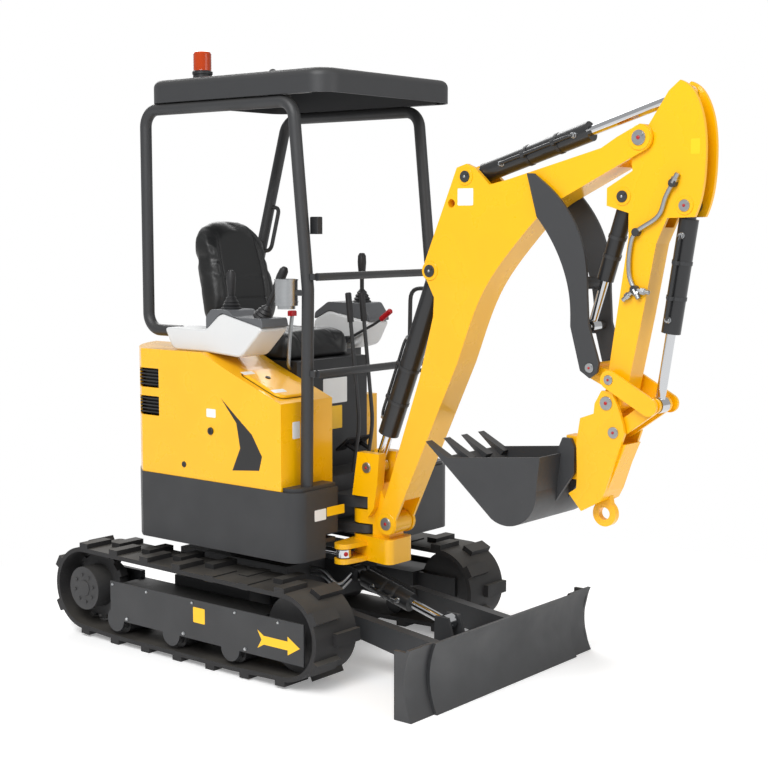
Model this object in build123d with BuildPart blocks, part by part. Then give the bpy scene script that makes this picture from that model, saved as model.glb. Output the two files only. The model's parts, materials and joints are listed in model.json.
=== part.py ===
"""Mini excavator on rubber tracks: canopy, swing boom, arm, quick coupler, bucket, thumb and dozer blade.

Millimetres. +X points forward (blade end), +Y to the operator's left, +Z up, floor at Z = 0.
"""
from build123d import *
from math import hypot
import os

os.makedirs("parts", exist_ok=True)

# Clearances
pin_clear = 0.4
side_clear = 5.0
seat_gap = 0.3

# Undercarriage, lengths along X measured from the slew axis
slew_x = -645.22
track_half_gauge = 485.0
track_width = 230.0
sprocket_back = 575.0
sprocket_z = 206.0
sprocket_reach = 196.0
sprocket_thick = 40.0
sprocket_teeth = 13
hub_radius = 92.0
idler_ahead = 588.0
idler_z = 200.0
idler_reach = 190.0
idler_thick = 70.0
lug_height = 20.0
lug_length = 50.0
lug_share = 0.58
lug_count = 36
lug_sink = 5.0
belt_thick = 18.0
roller_radius = 45.0
roller_width = 130.0
roller_pitch = 338.0
roller_mid = -36.0
hanger_thick = 12.0
beam_width = 170.0
beam_low = 134.0
beam_high = 244.0
beam_back = -405.0
beam_front = 425.0
cover_thick = 8.0
cover_top = 266.0
cover_low = 104.0
cover_back = -405.0
cover_front = 690.0
cover_bulge = 50.0
frame_half_length = 310.0
frame_half_width = 280.0
frame_low = 190.0
frame_top = 372.0
ring_radius = 205.0
ring_split = 432.0
axle_radius = 24.0

# Dozer blade, measured from the slew axis
blade_half_width = 600.0
blade_main_half = 467.0
blade_height = 262.0
blade_front = 1220.0
blade_thick = 14.0
blade_hollow = 34.0
blade_wing_back = 14.0
blade_side_depth = 78.0
blade_pivot = (560.0, 196.0)
blade_eye = (913.0, 190.0)
blade_arm_y = 235.0
blade_arm_thick = 46.0
blade_pin = 20.0
blade_ram_base = (446.0, 318.0)

# House, lengths along X measured from the slew axis
house_half_width = 490.0
tail_reach = 580.0
tail_side = 310.0
deck_low = 510.0
deck_high = 526.0
skirt_low = 455.0
skirt_high = 727.0
skirt_wall = 12.0
corner_radius = 60.0
recess_half = 150.0
arch_half = 72.0
arch_high = 548.0
floor_high = 742.0
hood_wall = 8.0
hood_inset = 4.0
hood_high = 1240.0
hood_knee = (46.0, 1180.0, 186.0)
hood_front_high = 1066.0
hood_inner = -190.0
bay_front = -185.0
rear_hood_high = 1190.0
side_box_high = 1000.0
side_box_front = 150.0
side_box_inner = 330.0
engine_x = (-tail_reach + 140.0, -200.0)
engine_y = (-330.0, 180.0)
engine_high = 1080.0
vent_x = (-340.0, -205.0)
vent_z = ((965.0, 1045.0), (1080.0, 1160.0))

# Swing post, measured from the swing axis
boom_y = -100.0
swing_reach = 590.0
front_set = 30.0
recess_depth = 135.0
front_panel = swing_reach - front_set
recess_back = swing_reach - recess_depth
hood_front = front_panel - 80.0
king_radius = 22.0
knuckle_radius = 54.0
house_lug_radius = 50.0
house_lugs = ((530.0, 565.0), (632.0, 676.0))
post_levels = ((426.0, 524.0), (571.0, 626.0), (682.0, 735.0))
chin_ahead = 175.0
chin_half = 75.0
foot_reach = 145.0
foot_z = 586.0
foot_boss = 46.0
foot_pin = 24.0
tongue_half = 45.0
cheek_half = 74.0
cheek_high = 858.0
ear_reach = 150.0
ear_radius = 36.0
ear_plate = 20.0
ear_eye_height = 30.0

# Boom, measured from its foot pin (forward, up)
boom_half = 61.0
boom_plate = 12.0
boom_tip = (1089.0, 1451.0)
boom_ram_base = (210.0, 989.0)
boom_ram_eye = (-90.0, 214.0)
arm_ram_base = (372.0, 1336.0)
tip_boss = 46.0
tip_pin = 20.0
boom_cells = (
    ((30.0, 175.0), (100.0, 175.0), (322.0, 650.0), (400.0, 850.0), (240.0, 850.0), (172.0, 578.0)),
    (
        (280.0, 1062.0), (540.0, 1062.0), (612.0, 1130.0), (766.0, 1256.0), (930.0, 1336.0), (930.0, 1405.0),
        (700.0, 1346.0), (640.0, 1300.0), (500.0, 1275.0), (380.0, 1270.0), (318.0, 1200.0),
    ),
)

# Arm, measured from its pin at the boom tip
arm_half = 45.0
arm_plate = 14.0
arm_ram_eye = (139.0, 141.0)
bucket_ram_base = (166.0, -226.0)
thumb_ram_base = (-69.0, -194.0)
arm_tip = (-109.0, -901.0)
link_pin_arm = (-92.0, -818.0)
thumb_pin = (-166.0, -781.0)

# Coupler, links and bucket, measured from the arm tip pin
coupler_half = 64.0
coupler_plate = 14.0
coupler_pin = (30.0, -100.0)
link_joint = (171.0, 1.0)
link_boss = 32.0
link_half = 81.0
link_plate_thick = 12.0
jaw_half = 30.0
bucket_pins = ((-168.0, -164.0), (-169.0, -250.0))
bucket_pin = 15.0
bucket_half = 185.0
bucket_sheet = 8.0
ear_half = 50.0
bucket_ear = 14.0
bucket_lip = (-629.0, -238.0)
bucket_heel = (-395.0, -436.0)
bucket_belly = (-276.0, -442.0)
bucket_back = (-205.0, -317.0)
bucket_rim = (-190.0, -194.0)
tooth_count = 4
tooth_length = 84.0
tooth_width = 40.0
hook_eye = (-32.0, -398.0)
hook_bore = 22.0
hook_half = 12.0

# Thumb, measured from its pivot
thumb_half = 84.0
thumb_plate = 12.0
thumb_eye = (-44.0, 138.0)

# Rams: barrel radius, rod radius, distance from base pin to gland, eye radius
boom_ram = (41.0, 20.0, 690.0, 32.0)
arm_ram = (36.0, 18.0, 515.0, 30.0)
bucket_ram = (33.0, 17.0, 432.0, 28.0)
thumb_ram = (30.0, 15.0, 300.0, 27.0)
blade_ram = (38.0, 19.0, 300.0, 32.0)
swing_ram = (34.0, 14.0, 340.0, 30.0)
swing_inside = 165.0
swing_ram_length = 490.0
eye_half = 25.0
ram_neck = 0.72
ram_pin = 16.0

# Canopy, measured from the slew axis
tube_radius = 24.0
tube_y = 385.0
tube_bend = 70.0
tube_top = 2215.0
foot_trim = 60.0
foot_sink = 5.0
post_front = front_panel - 40.0
post_rear = -370.0
post_head = post_front - 60.0
post_knee = (post_front + 12.0, 1500.0)
rear_foot = (-430.0, 220.0)
rear_head = -290.0
elbow_high = 1310.0
roof_high = 2332.0
roof_front = front_panel + 80.0
roof_length = 985.0
roof_half = 410.0
roof_wall = 6.0
roof_rib = 20.0
roof_corner = 90.0
roof_edge = 30.0
rail_radius = 15.0
rail_ahead = post_front + 57.0
rail_seats = (post_front + 31.6, post_front + 32.8)
rail_bracket = 12.0
rail_heights = (1180.0, 1550.0)
beacon_at = (-170.0, -250.0)
beacon_radius = 42.0
beacon_height = 125.0

# Operator's place, measured from the slew axis
seat_base_front = 290.0
seat_base_y = (-188.0, 250.0)
seat_base_high = 1195.0
seat_y = 30.0
seat_half = 215.0
cushion_thick = 105.0
cushion_x = (-215.0, 245.0)
back_thick = 95.0
back_high = 1800.0
console_right = ((-170.0, 430.0), (-455.0, -300.0), (1240.0, 1365.0))
console_left = ((-20.0, 260.0), (300.0, 440.0), (1240.0, 1350.0))

swing_x = slew_x + swing_reach
foot = (swing_x + foot_reach, foot_z)


def shift(base, offset):
    """Point in the side view at an offset (forward, up) from a base point."""
    return (base[0] + offset[0], base[1] + offset[1])


def shifted(base, offsets):
    """Several side-view points at offsets from a base point."""
    return [shift(base, offset) for offset in offsets]


tip = shift(foot, boom_tip)
toe = shift(tip, arm_tip)
thumb_pivot = shift(tip, thumb_pin)
origin_x = (slew_x, 0.0)


def across(y):
    """Plane across the machine at y: sketch x is forward, sketch y is up, extrusion runs towards -Y."""
    return Plane.XZ.offset(-y)


def round_bar(centre, radius, y_low, y_high, mode=Mode.ADD):
    """Round bar lying across the machine."""
    with BuildSketch(across(y_high)) as disc:
        with Locations(centre):
            Circle(radius)
    extrude(disc.sketch, amount=y_high - y_low, mode=mode)


def flat_plate(points, y_low, y_high, radius=0.0, mode=Mode.ADD):
    """Plate across the machine with a polygon outline and rounded corners."""
    with BuildSketch(across(y_high)) as outline:
        Polygon(*points, align=None)
        if radius:
            fillet(outline.vertices(), radius)
    extrude(outline.sketch, amount=y_high - y_low, mode=mode)


def both_sides(points, inner, outer, radius=0.0):
    """Pair of like plates, one on each side of the boom's plane."""
    flat_plate(points, boom_y - outer, boom_y - inner, radius)
    flat_plate(points, boom_y + inner, boom_y + outer, radius)


def round_link(ends, radii, y_low, y_high):
    """Plate around two or more round ends, with straight flanks."""
    with BuildSketch(across(y_high)) as outline:
        for centre, radius in zip(ends, radii):
            with Locations(centre):
                Circle(radius)
        make_hull()
    extrude(outline.sketch, amount=y_high - y_low)


def block(low, high, mode=Mode.ADD):
    """Box between two corners."""
    size = [b - a for a, b in zip(low, high)]
    middle = tuple((a + b) / 2 for a, b in zip(low, high))
    with Locations(middle):
        Box(*size, mode=mode)


def keep(builder, name):
    """Label a finished piece and write its STEP file."""
    builder.part.label = name
    export_step(builder.part, f"parts/{name}.step")


# Tracks: rubber belts with staggered lugs around the sprocket, rollers and idler
roller_z = lug_height + belt_thick + roller_radius
roller_xs = [slew_x + roller_mid + k * roller_pitch for k in (-1, 0, 1)]
sprocket = (slew_x - sprocket_back, sprocket_z)
idler = (slew_x + idler_ahead, idler_z)
loop_wheels = [
    (sprocket, sprocket_reach),
    (idler, idler_reach),
    ((roller_xs[0], roller_z), roller_z),
    ((roller_xs[-1], roller_z), roller_z),
]


def track_loop(y, inset, width):
    """Outline of the belt at an inset from the lug tips, as a sketch across the machine."""
    with BuildSketch(across(y + width / 2)) as outline:
        for centre, reach in loop_wheels:
            with Locations(centre):
                Circle(reach - inset)
        make_hull()
    return outline.sketch


def lug_planes(y):
    """Planes on the belt's outer face, one for each lug, staggered left and right."""
    wire = track_loop(y, lug_height, 0.0).faces()[0].outer_wire()
    middle = wire.center()
    side = track_width * (1 - lug_share) / 2
    for k in range(lug_count):
        share = k / lug_count
        spot = wire.position_at(share)
        run = wire.tangent_at(share)
        out = run.cross(Vector(0, 1, 0))
        if out.dot(spot - middle) < 0:
            out = -out
        lean = side if k % 2 else -side
        yield Plane(origin=spot + Vector(0, lean, 0) - out * lug_sink, x_dir=(0, 1, 0), z_dir=out)


def build_track(y):
    """One rubber track."""
    with BuildPart() as belt:
        extrude(track_loop(y, lug_height, track_width), amount=track_width)
        extrude(track_loop(y, lug_height + belt_thick, track_width), amount=track_width, mode=Mode.SUBTRACT)
        wide = track_width * lug_share
        with Locations(*[Location(plane) for plane in lug_planes(y)]):
            Box(wide, lug_length, lug_height + lug_sink, align=(Align.CENTER, Align.CENTER, Align.MIN))
        block((2 * slew_x, y - track_width, -lug_height), (0, y + track_width, 0), Mode.SUBTRACT)
    return belt


track_right = build_track(-track_half_gauge)
keep(track_right, "track_right")
track_left = build_track(track_half_gauge)
keep(track_left, "track_left")

# Sprockets with the travel motors' hubs
sprocket_radius = sprocket_reach - lug_height - belt_thick - 2 * side_clear
with BuildPart() as drive_sprockets:
    for side in (-1, 1):
        y = side * track_half_gauge
        with BuildSketch(across(y + sprocket_thick / 2)) as teeth:
            with Locations(sprocket):
                Circle(sprocket_radius - 14)
                with PolarLocations(sprocket_radius - 14, sprocket_teeth):
                    Rectangle(28, 30)
        extrude(teeth.sketch, amount=sprocket_thick)
        hub_in = y - side * (beam_width / 2 - 20)
        hub_out = y + side * (track_width / 2 - 6)
        round_bar(sprocket, hub_radius, min(hub_in, hub_out), max(hub_in, hub_out))
keep(drive_sprockets, "drive_sprockets")

# Idlers at the front end of each track frame
idler_radius = idler_reach - lug_height - belt_thick - 1
with BuildPart() as front_idlers:
    for side in (-1, 1):
        y = side * track_half_gauge
        round_bar(idler, idler_radius, y - idler_thick / 2, y + idler_thick / 2)
        round_bar(idler, axle_radius + pin_clear, y - idler_thick / 2, y + idler_thick / 2, Mode.SUBTRACT)
keep(front_idlers, "front_idlers")

# Bottom rollers in their hangers
with BuildPart() as track_rollers:
    for side in (-1, 1):
        y = side * track_half_gauge
        for x in roller_xs:
            round_bar((x, roller_z), roller_radius - 1, y - roller_width / 2, y + roller_width / 2)
            for flank in (-1, 1):
                face = y + flank * (roller_width / 2 + hanger_thick / 2)
                block(
                    (x - 30, face - hanger_thick / 2, roller_z - 18),
                    (x + 30, face + hanger_thick / 2, beam_low),
                )
keep(track_rollers, "track_rollers")

# Track frame: side beams, centre box, slew base, blade brackets
with BuildPart() as track_frame:
    block(
        (slew_x - frame_half_length, -frame_half_width, frame_low),
        (slew_x + frame_half_length, frame_half_width, frame_top),
    )
    for side in (-1, 1):
        y = side * track_half_gauge
        inner = side * (track_half_gauge - beam_width / 2)
        outer = side * (track_half_gauge + beam_width / 2)
        block(
            (slew_x + beam_back, min(inner, outer), beam_low),
            (slew_x + beam_front, max(inner, outer), beam_high),
        )
        leg = side * frame_half_width
        block(
            (slew_x - 220, min(leg, inner), frame_low),
            (slew_x + 220, max(leg, inner), beam_high + 40),
        )
        mount = inner + side * 20
        block(
            (sprocket[0] - 60, min(inner, mount), beam_low),
            (slew_x + beam_back, max(inner, mount), sprocket_z + 70),
        )
        for flank in (-1, 1):
            arm_in = y + flank * (idler_thick / 2 + 3)
            arm_out = y + flank * (idler_thick / 2 + 18)
            block(
                (slew_x + beam_front, min(arm_in, arm_out), idler_z - 40),
                (idler[0] + 40, max(arm_in, arm_out), idler_z + 40),
            )
        round_bar(idler, axle_radius, y - idler_thick / 2 - 18, y + idler_thick / 2 + 18)
        hinge_in = side * (blade_arm_y - blade_arm_thick / 2 - side_clear - 16)
        hinge_out = side * (blade_arm_y - blade_arm_thick / 2 - side_clear)
        pivot = shift(origin_x, blade_pivot)
        flat_plate(
            [
                (slew_x + frame_half_length - 5, frame_low),
                (pivot[0] + 34, pivot[1] - 34),
                (pivot[0] + 34, pivot[1] + 34),
                (slew_x + frame_half_length - 5, frame_low + 120),
            ],
            min(hinge_in, hinge_out),
            max(hinge_in, hinge_out),
        )
        pin_out = side * (blade_arm_y + blade_arm_thick / 2)
        round_bar(pivot, blade_pin, min(hinge_in, pin_out), max(hinge_in, pin_out))
        base = shift(origin_x, blade_ram_base)
        lug_in = side * (eye_half + side_clear)
        lug_out = side * (eye_half + side_clear + 14)
        flat_plate(
            [
                (slew_x + frame_half_length - 5, frame_low + 60),
                (base[0] + 30, base[1] - 26),
                (base[0] + 30, base[1] + 26),
                (base[0] - 20, base[1] + 34),
                (slew_x + frame_half_length - 5, frame_top),
            ],
            min(lug_in, lug_out),
            max(lug_in, lug_out),
        )
    base = shift(origin_x, blade_ram_base)
    round_bar(base, ram_pin, -eye_half - side_clear - 14, eye_half + side_clear + 14)
keep(track_frame, "track_frame")

# Covers over the outer side of each track frame
with BuildPart() as track_covers:
    for side in (-1, 1):
        inner = side * (track_half_gauge + beam_width / 2)
        face = inner + side * 16
        outer = face + side * cover_thick
        flat_plate(
            [
                (slew_x + cover_back, cover_low),
                (slew_x + cover_front, cover_low),
                (slew_x + cover_front, cover_top),
                (slew_x + cover_back, cover_top),
            ],
            min(face, outer),
            max(face, outer),
        )
        for x in roller_xs:
            round_bar((x, cover_low), cover_bulge, min(face, outer), max(face, outer))
            block(
                (x - 40, min(inner, face), beam_low + 20),
                (x + 40, max(inner, face), beam_high - 20),
            )
keep(track_covers, "track_covers")

# Slew ring's lower half on the frame
with BuildPart() as slew_ring:
    with Locations((slew_x, 0, frame_top)):
        Cylinder(ring_radius, ring_split - seat_gap - frame_top, align=(Align.CENTER, Align.CENTER, Align.MIN))
keep(slew_ring, "slew_ring")

# Dozer blade with wings, arms and ram lugs
pivot = shift(origin_x, blade_pivot)
blade_rod_eye = shift(origin_x, blade_eye)


def mouldboard(y_low, y_high, back):
    """Curved blade plate between two y values, set back from the cutting edge's line."""
    front = slew_x + blade_front - back
    with BuildSketch(across(y_high)) as section:
        with BuildLine():
            ThreePointArc(
                (front, 0), (front - blade_hollow, blade_height / 2), (front - 6, blade_height)
            )
            Line((front - 6, blade_height), (front - 6 - blade_thick, blade_height))
            ThreePointArc(
                (front - 6 - blade_thick, blade_height),
                (front - blade_hollow - blade_thick, blade_height / 2),
                (front - blade_thick, 0),
            )
            Line((front - blade_thick, 0), (front, 0))
        make_face()
    extrude(section.sketch, amount=y_high - y_low)


with BuildPart() as dozer_blade:
    mouldboard(-blade_main_half, blade_main_half, 0.0)
    for side in (-1, 1):
        inner = side * (blade_main_half - 20)
        outer = side * blade_half_width
        mouldboard(min(inner, outer), max(inner, outer), blade_wing_back)
        front = slew_x + blade_front - blade_wing_back
        wall = outer - side * blade_thick
        flat_plate(
            [
                (front - blade_side_depth, 0),
                (front - blade_thick / 2, 0),
                (front - blade_hollow - blade_thick / 2, blade_height / 2),
                (front - 6 - blade_thick / 2, blade_height - 10),
                (front - blade_side_depth, blade_height - 10),
            ],
            min(wall, outer),
            max(wall, outer),
        )
        arm_low = side * blade_arm_y - blade_arm_thick / 2
        arm_high = side * blade_arm_y + blade_arm_thick / 2
        back = slew_x + blade_front - blade_hollow - blade_thick / 2
        flat_plate(
            [
                (pivot[0] - 36, pivot[1] - 30),
                (pivot[0] + 10, pivot[1] - 40),
                (back, 50),
                (back, 170),
                (pivot[0] + 10, pivot[1] + 40),
                (pivot[0] - 36, pivot[1] + 30),
            ],
            arm_low,
            arm_high,
        )
        round_bar(pivot, blade_pin + pin_clear, arm_low, arm_high, Mode.SUBTRACT)
        lug_in = side * (eye_half + side_clear)
        lug_out = side * (eye_half + side_clear + 14)
        flat_plate(
            [
                (blade_rod_eye[0] - 34, 70),
                (blade_rod_eye[0] + 80, 70),
                (blade_rod_eye[0] + 34, blade_rod_eye[1] + 30),
                (blade_rod_eye[0] - 30, blade_rod_eye[1] + 30),
            ],
            min(lug_in, lug_out),
            max(lug_in, lug_out),
        )
    block(
        (blade_rod_eye[0] - 60, -blade_arm_y, 76),
        (blade_rod_eye[0] + 130, blade_arm_y, 100),
    )
keep(dozer_blade, "dozer_blade")


# Rams: a hollow barrel on its base pin and a rod that slides in it
def ram_axis(base, eye, y):
    """Plane at the base pin with its normal along the ram."""
    run = Vector(eye[0] - base[0], 0, eye[1] - base[1])
    return Plane(origin=(base[0], y, base[1]), x_dir=(0, 1, 0), z_dir=run)


def build_barrel(base, eye, y, sizes, half=eye_half):
    """Ram barrel with its base eye and a bore for the rod."""
    radius, rod, gland, eye_radius = sizes
    axis = ram_axis(base, eye, y)
    with BuildPart() as barrel:
        round_bar(base, eye_radius, y - half, y + half)
        with BuildSketch(axis) as neck:
            Circle(min(radius * ram_neck, half - 2))
        extrude(neck.sketch, amount=2 * eye_radius)
        with BuildSketch(axis.offset(eye_radius * 1.6)) as tube:
            Circle(radius)
        extrude(tube.sketch, amount=gland - eye_radius * 1.6)
        with BuildSketch(axis.offset(gland)) as bore:
            Circle(rod + pin_clear)
        extrude(bore.sketch, amount=-(gland - eye_radius * 2.4), mode=Mode.SUBTRACT)
        round_bar(base, ram_pin + pin_clear, y - half, y + half, Mode.SUBTRACT)
    return barrel


def build_rod(base, eye, y, sizes, inside, half=eye_half):
    """Ram rod with its eye, reaching a given length into the barrel at rest."""
    radius, rod, gland, eye_radius = sizes
    reach = hypot(eye[0] - base[0], eye[1] - base[1])
    axis = ram_axis(base, eye, y)
    with BuildPart() as shaft:
        with BuildSketch(axis.offset(gland - inside)) as bar:
            Circle(rod)
        extrude(bar.sketch, amount=reach - gland + inside)
        round_bar(eye, eye_radius, y - half, y + half)
        round_bar(eye, ram_pin + pin_clear, y - half, y + half, Mode.SUBTRACT)
    return shaft


boom_base = shift(foot, boom_ram_base)
boom_eye = shift(foot, boom_ram_eye)
arm_base = shift(foot, arm_ram_base)
arm_eye = shift(tip, arm_ram_eye)
bucket_base = shift(tip, bucket_ram_base)
bucket_eye = shift(toe, link_joint)
thumb_base = shift(tip, thumb_ram_base)
thumb_rod_eye = shift(thumb_pivot, thumb_eye)
blade_base = shift(origin_x, blade_ram_base)

boom_ram_barrel = build_barrel(boom_base, boom_eye, boom_y, boom_ram)
keep(boom_ram_barrel, "boom_ram_barrel")
boom_ram_rod = build_rod(boom_base, boom_eye, boom_y, boom_ram, 420.0)
keep(boom_ram_rod, "boom_ram_rod")
arm_ram_barrel = build_barrel(arm_base, arm_eye, boom_y, arm_ram)
keep(arm_ram_barrel, "arm_ram_barrel")
arm_ram_rod = build_rod(arm_base, arm_eye, boom_y, arm_ram, 70.0)
keep(arm_ram_rod, "arm_ram_rod")
bucket_ram_barrel = build_barrel(bucket_base, bucket_eye, boom_y, bucket_ram)
keep(bucket_ram_barrel, "bucket_ram_barrel")
bucket_ram_rod = build_rod(bucket_base, bucket_eye, boom_y, bucket_ram, 100.0)
keep(bucket_ram_rod, "bucket_ram_rod")
thumb_ram_barrel = build_barrel(thumb_base, thumb_rod_eye, boom_y, thumb_ram)
keep(thumb_ram_barrel, "thumb_ram_barrel")
thumb_ram_rod = build_rod(thumb_base, thumb_rod_eye, boom_y, thumb_ram, 220.0)
keep(thumb_ram_rod, "thumb_ram_rod")
blade_ram_barrel = build_barrel(blade_base, blade_rod_eye, 0.0, blade_ram)
keep(blade_ram_barrel, "blade_ram_barrel")
blade_ram_rod = build_rod(blade_base, blade_rod_eye, 0.0, blade_ram, 120.0)
keep(blade_ram_rod, "blade_ram_rod")

# House: deck with its nose lugs, skirt, hoods, engine and floor
swing_axis = (swing_x, boom_y)


def house_plan(inset, z):
    """Plan outline of the house at height z, drawn in from its outer face by an inset."""
    half = house_half_width - inset
    tail = tail_reach - inset
    front = front_panel - inset
    with BuildSketch(Plane.XY.offset(z)) as plan:
        with BuildLine():
            Line((slew_x + front, half), (slew_x - tail_side, half))
            ThreePointArc((slew_x - tail_side, half), (slew_x - tail, 0), (slew_x - tail_side, -half))
            Line((slew_x - tail_side, -half), (slew_x + front, -half))
            Line((slew_x + front, -half), (slew_x + front, half))
        make_face()
        corners = plan.vertices().sort_by(Axis.X)[-2:]
        fillet(corners, corner_radius - inset)
    return plan.sketch


def cut_recess(low, high):
    """Opening in the house's front for the swing post."""
    block(
        (slew_x + recess_back, boom_y - recess_half, low),
        (slew_x + front_panel + 1, boom_y + recess_half, high),
        Mode.SUBTRACT,
    )


def upright(centre, radius, low, high, mode=Mode.ADD):
    """Round bar standing upright."""
    with BuildSketch(Plane.XY.offset(low)) as disc:
        with Locations(centre):
            Circle(radius)
    extrude(disc.sketch, amount=high - low, mode=mode)


def level_hull(ends, radii, low, high, mode=Mode.ADD):
    """Level plate around round ends, with straight flanks."""
    with BuildSketch(Plane.XY.offset(low)) as outline:
        for centre, radius in zip(ends, radii):
            with Locations(centre):
                Circle(radius)
        make_hull()
    extrude(outline.sketch, amount=high - low, mode=mode)


skirt_inside = skirt_wall + seat_gap
with BuildPart() as deck_frame:
    extrude(house_plan(skirt_inside, deck_low), amount=deck_high - deck_low)
    cut_recess(deck_low - 1, deck_high + 1)
    upright((slew_x, 0), ring_radius - 15, ring_split, deck_low)
    block(
        (slew_x + recess_back - 24, boom_y - recess_half, deck_low),
        (slew_x + recess_back, boom_y + recess_half, skirt_high),
    )
    for low, high in house_lugs:
        level_hull(
            [(slew_x + recess_back - 60, boom_y - 80), (slew_x + recess_back - 60, boom_y + 80), swing_axis],
            [10, 10, house_lug_radius],
            low,
            high,
        )
    upright(swing_axis, king_radius, post_levels[0][0], post_levels[-1][1])
keep(deck_frame, "deck_frame")

with BuildPart() as skirt:
    extrude(house_plan(0.0, skirt_low), amount=skirt_high - skirt_low)
    extrude(house_plan(skirt_wall, skirt_low), amount=skirt_high - skirt_low, mode=Mode.SUBTRACT)
    cut_recess(skirt_low - 1, skirt_high + 1)
    block(
        (slew_x + recess_back, boom_y - ear_reach - arch_half, skirt_low - 1),
        (slew_x + front_panel + 1, boom_y, arch_high),
        Mode.SUBTRACT,
    )
keep(skirt, "skirt")

hood_low = skirt_high + seat_gap
hood_top_line = [
    (slew_x + hood_knee[0], hood_high),
    (slew_x + hood_knee[2], hood_knee[1]),
    (slew_x + hood_front + 1, hood_front_high),
    (slew_x + hood_front + 1, hood_high + 50),
    (slew_x + hood_knee[0], hood_high + 50),
]
with BuildPart() as hood_right:
    extrude(house_plan(hood_inset, hood_low), amount=hood_high - hood_low)
    block(
        (slew_x - tail_reach, hood_inner, hood_low - 1),
        (slew_x + front_panel, house_half_width, hood_high + 1),
        Mode.SUBTRACT,
    )
    block(
        (slew_x + hood_front, -house_half_width, hood_low - 1),
        (slew_x + front_panel, hood_inner, hood_high + 1),
        Mode.SUBTRACT,
    )
    flat_plate(hood_top_line, -house_half_width, hood_inner, mode=Mode.SUBTRACT)
    low_face = hood_right.faces().sort_by(Axis.Z)[0]
    inner_face = hood_right.faces().filter_by(Axis.Y).sort_by(Axis.Y)[-1]
    offset(amount=-hood_wall, openings=[low_face, inner_face])
    for low, high in vent_z:
        block(
            (slew_x + vent_x[0], -house_half_width, low),
            (slew_x + vent_x[1], -house_half_width + 45, high),
            Mode.SUBTRACT,
        )
keep(hood_right, "hood_right")

with BuildPart() as hood_rear:
    extrude(house_plan(hood_inset, hood_low), amount=rear_hood_high - hood_low)
    block(
        (slew_x - tail_reach, -house_half_width, hood_low - 1),
        (slew_x + front_panel, hood_inner + seat_gap, rear_hood_high + 1),
        Mode.SUBTRACT,
    )
    block(
        (slew_x + bay_front, hood_inner, hood_low - 1),
        (slew_x + front_panel, house_half_width, rear_hood_high + 1),
        Mode.SUBTRACT,
    )
    low_face = hood_rear.faces().sort_by(Axis.Z)[0]
    side_face = hood_rear.faces().filter_by(Axis.Y).sort_by(Axis.Y)[0]
    offset(amount=-hood_wall, openings=[low_face, side_face])
keep(hood_rear, "hood_rear")

with BuildPart() as side_box:
    extrude(house_plan(hood_inset, hood_low), amount=side_box_high - hood_low)
    block(
        (slew_x - tail_reach, -house_half_width, hood_low - 1),
        (slew_x + front_panel, side_box_inner, side_box_high + 1),
        Mode.SUBTRACT,
    )
    block(
        (slew_x - tail_reach, 0, hood_low - 1),
        (slew_x + bay_front + seat_gap, house_half_width, side_box_high + 1),
        Mode.SUBTRACT,
    )
    block(
        (slew_x + side_box_front, 0, hood_low - 1),
        (slew_x + front_panel, house_half_width, side_box_high + 1),
        Mode.SUBTRACT,
    )
    low_face = side_box.faces().sort_by(Axis.Z)[0]
    offset(amount=-hood_wall, openings=low_face)
keep(side_box, "side_box")

with BuildPart() as engine:
    block(
        (slew_x + engine_x[0], engine_y[0], deck_high),
        (slew_x + engine_x[1], engine_y[1], engine_high),
    )
keep(engine, "engine")

with BuildPart() as floor_plate:
    extrude(house_plan(skirt_inside, skirt_high), amount=floor_high - skirt_high)
    block(
        (slew_x - tail_reach, -house_half_width, skirt_high - 1),
        (slew_x + bay_front + 1, house_half_width, floor_high + 1),
        Mode.SUBTRACT,
    )
    block(
        (slew_x - tail_reach, -house_half_width, skirt_high - 1),
        (slew_x + hood_front + 1, hood_inner + 1, floor_high + 1),
        Mode.SUBTRACT,
    )
    block(
        (slew_x + bay_front, side_box_inner - 1, skirt_high - 1),
        (slew_x + side_box_front + 1, house_half_width, floor_high + 1),
        Mode.SUBTRACT,
    )
    cut_recess(skirt_high - 1, floor_high + 1)
keep(floor_plate, "floor_plate")

# Operator's seat, consoles and controls
with BuildPart() as seat_base:
    block(
        (slew_x + bay_front + 2, seat_base_y[0], floor_high),
        (slew_x + seat_base_front, seat_base_y[1], seat_base_high),
    )
    low_face = seat_base.faces().sort_by(Axis.Z)[0]
    offset(amount=-hood_wall, openings=low_face)
keep(seat_base, "seat_base")

with BuildPart() as seat_cushion:
    block(
        (slew_x + cushion_x[0], seat_y - seat_half, seat_base_high + seat_gap),
        (slew_x + cushion_x[1], seat_y + seat_half, seat_base_high + cushion_thick),
    )
    fillet(seat_cushion.edges().filter_by(Axis.Z), 60)
keep(seat_cushion, "seat_cushion")

back_low = seat_base_high + cushion_thick + seat_gap
with BuildPart() as seat_back:
    flat_plate(
        [
            (slew_x + cushion_x[0] - 60, back_low),
            (slew_x + cushion_x[0] + back_thick - 60, back_low),
            (slew_x + cushion_x[0] + back_thick - 190, back_high),
            (slew_x + cushion_x[0] - 190, back_high),
        ],
        seat_y - seat_half,
        seat_y + seat_half,
    )
keep(seat_back, "seat_back")


def console_box(ranges):
    """Console shell's outer block."""
    (x_low, x_high), (y_low, y_high), (z_low, z_high) = ranges
    block((slew_x + x_low, y_low, z_low + seat_gap), (slew_x + x_high, y_high, z_high))


with BuildPart() as right_console:
    console_box(console_right)
    fillet(right_console.edges().filter_by(Axis.Z), 30)
keep(right_console, "right_console")

with BuildPart() as left_console:
    console_box(console_left)
    block(
        (slew_x + 20, side_box_inner + 10, side_box_high + seat_gap),
        (slew_x + 130, 430, console_left[2][0] + 1),
    )
keep(left_console, "left_console")

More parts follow.
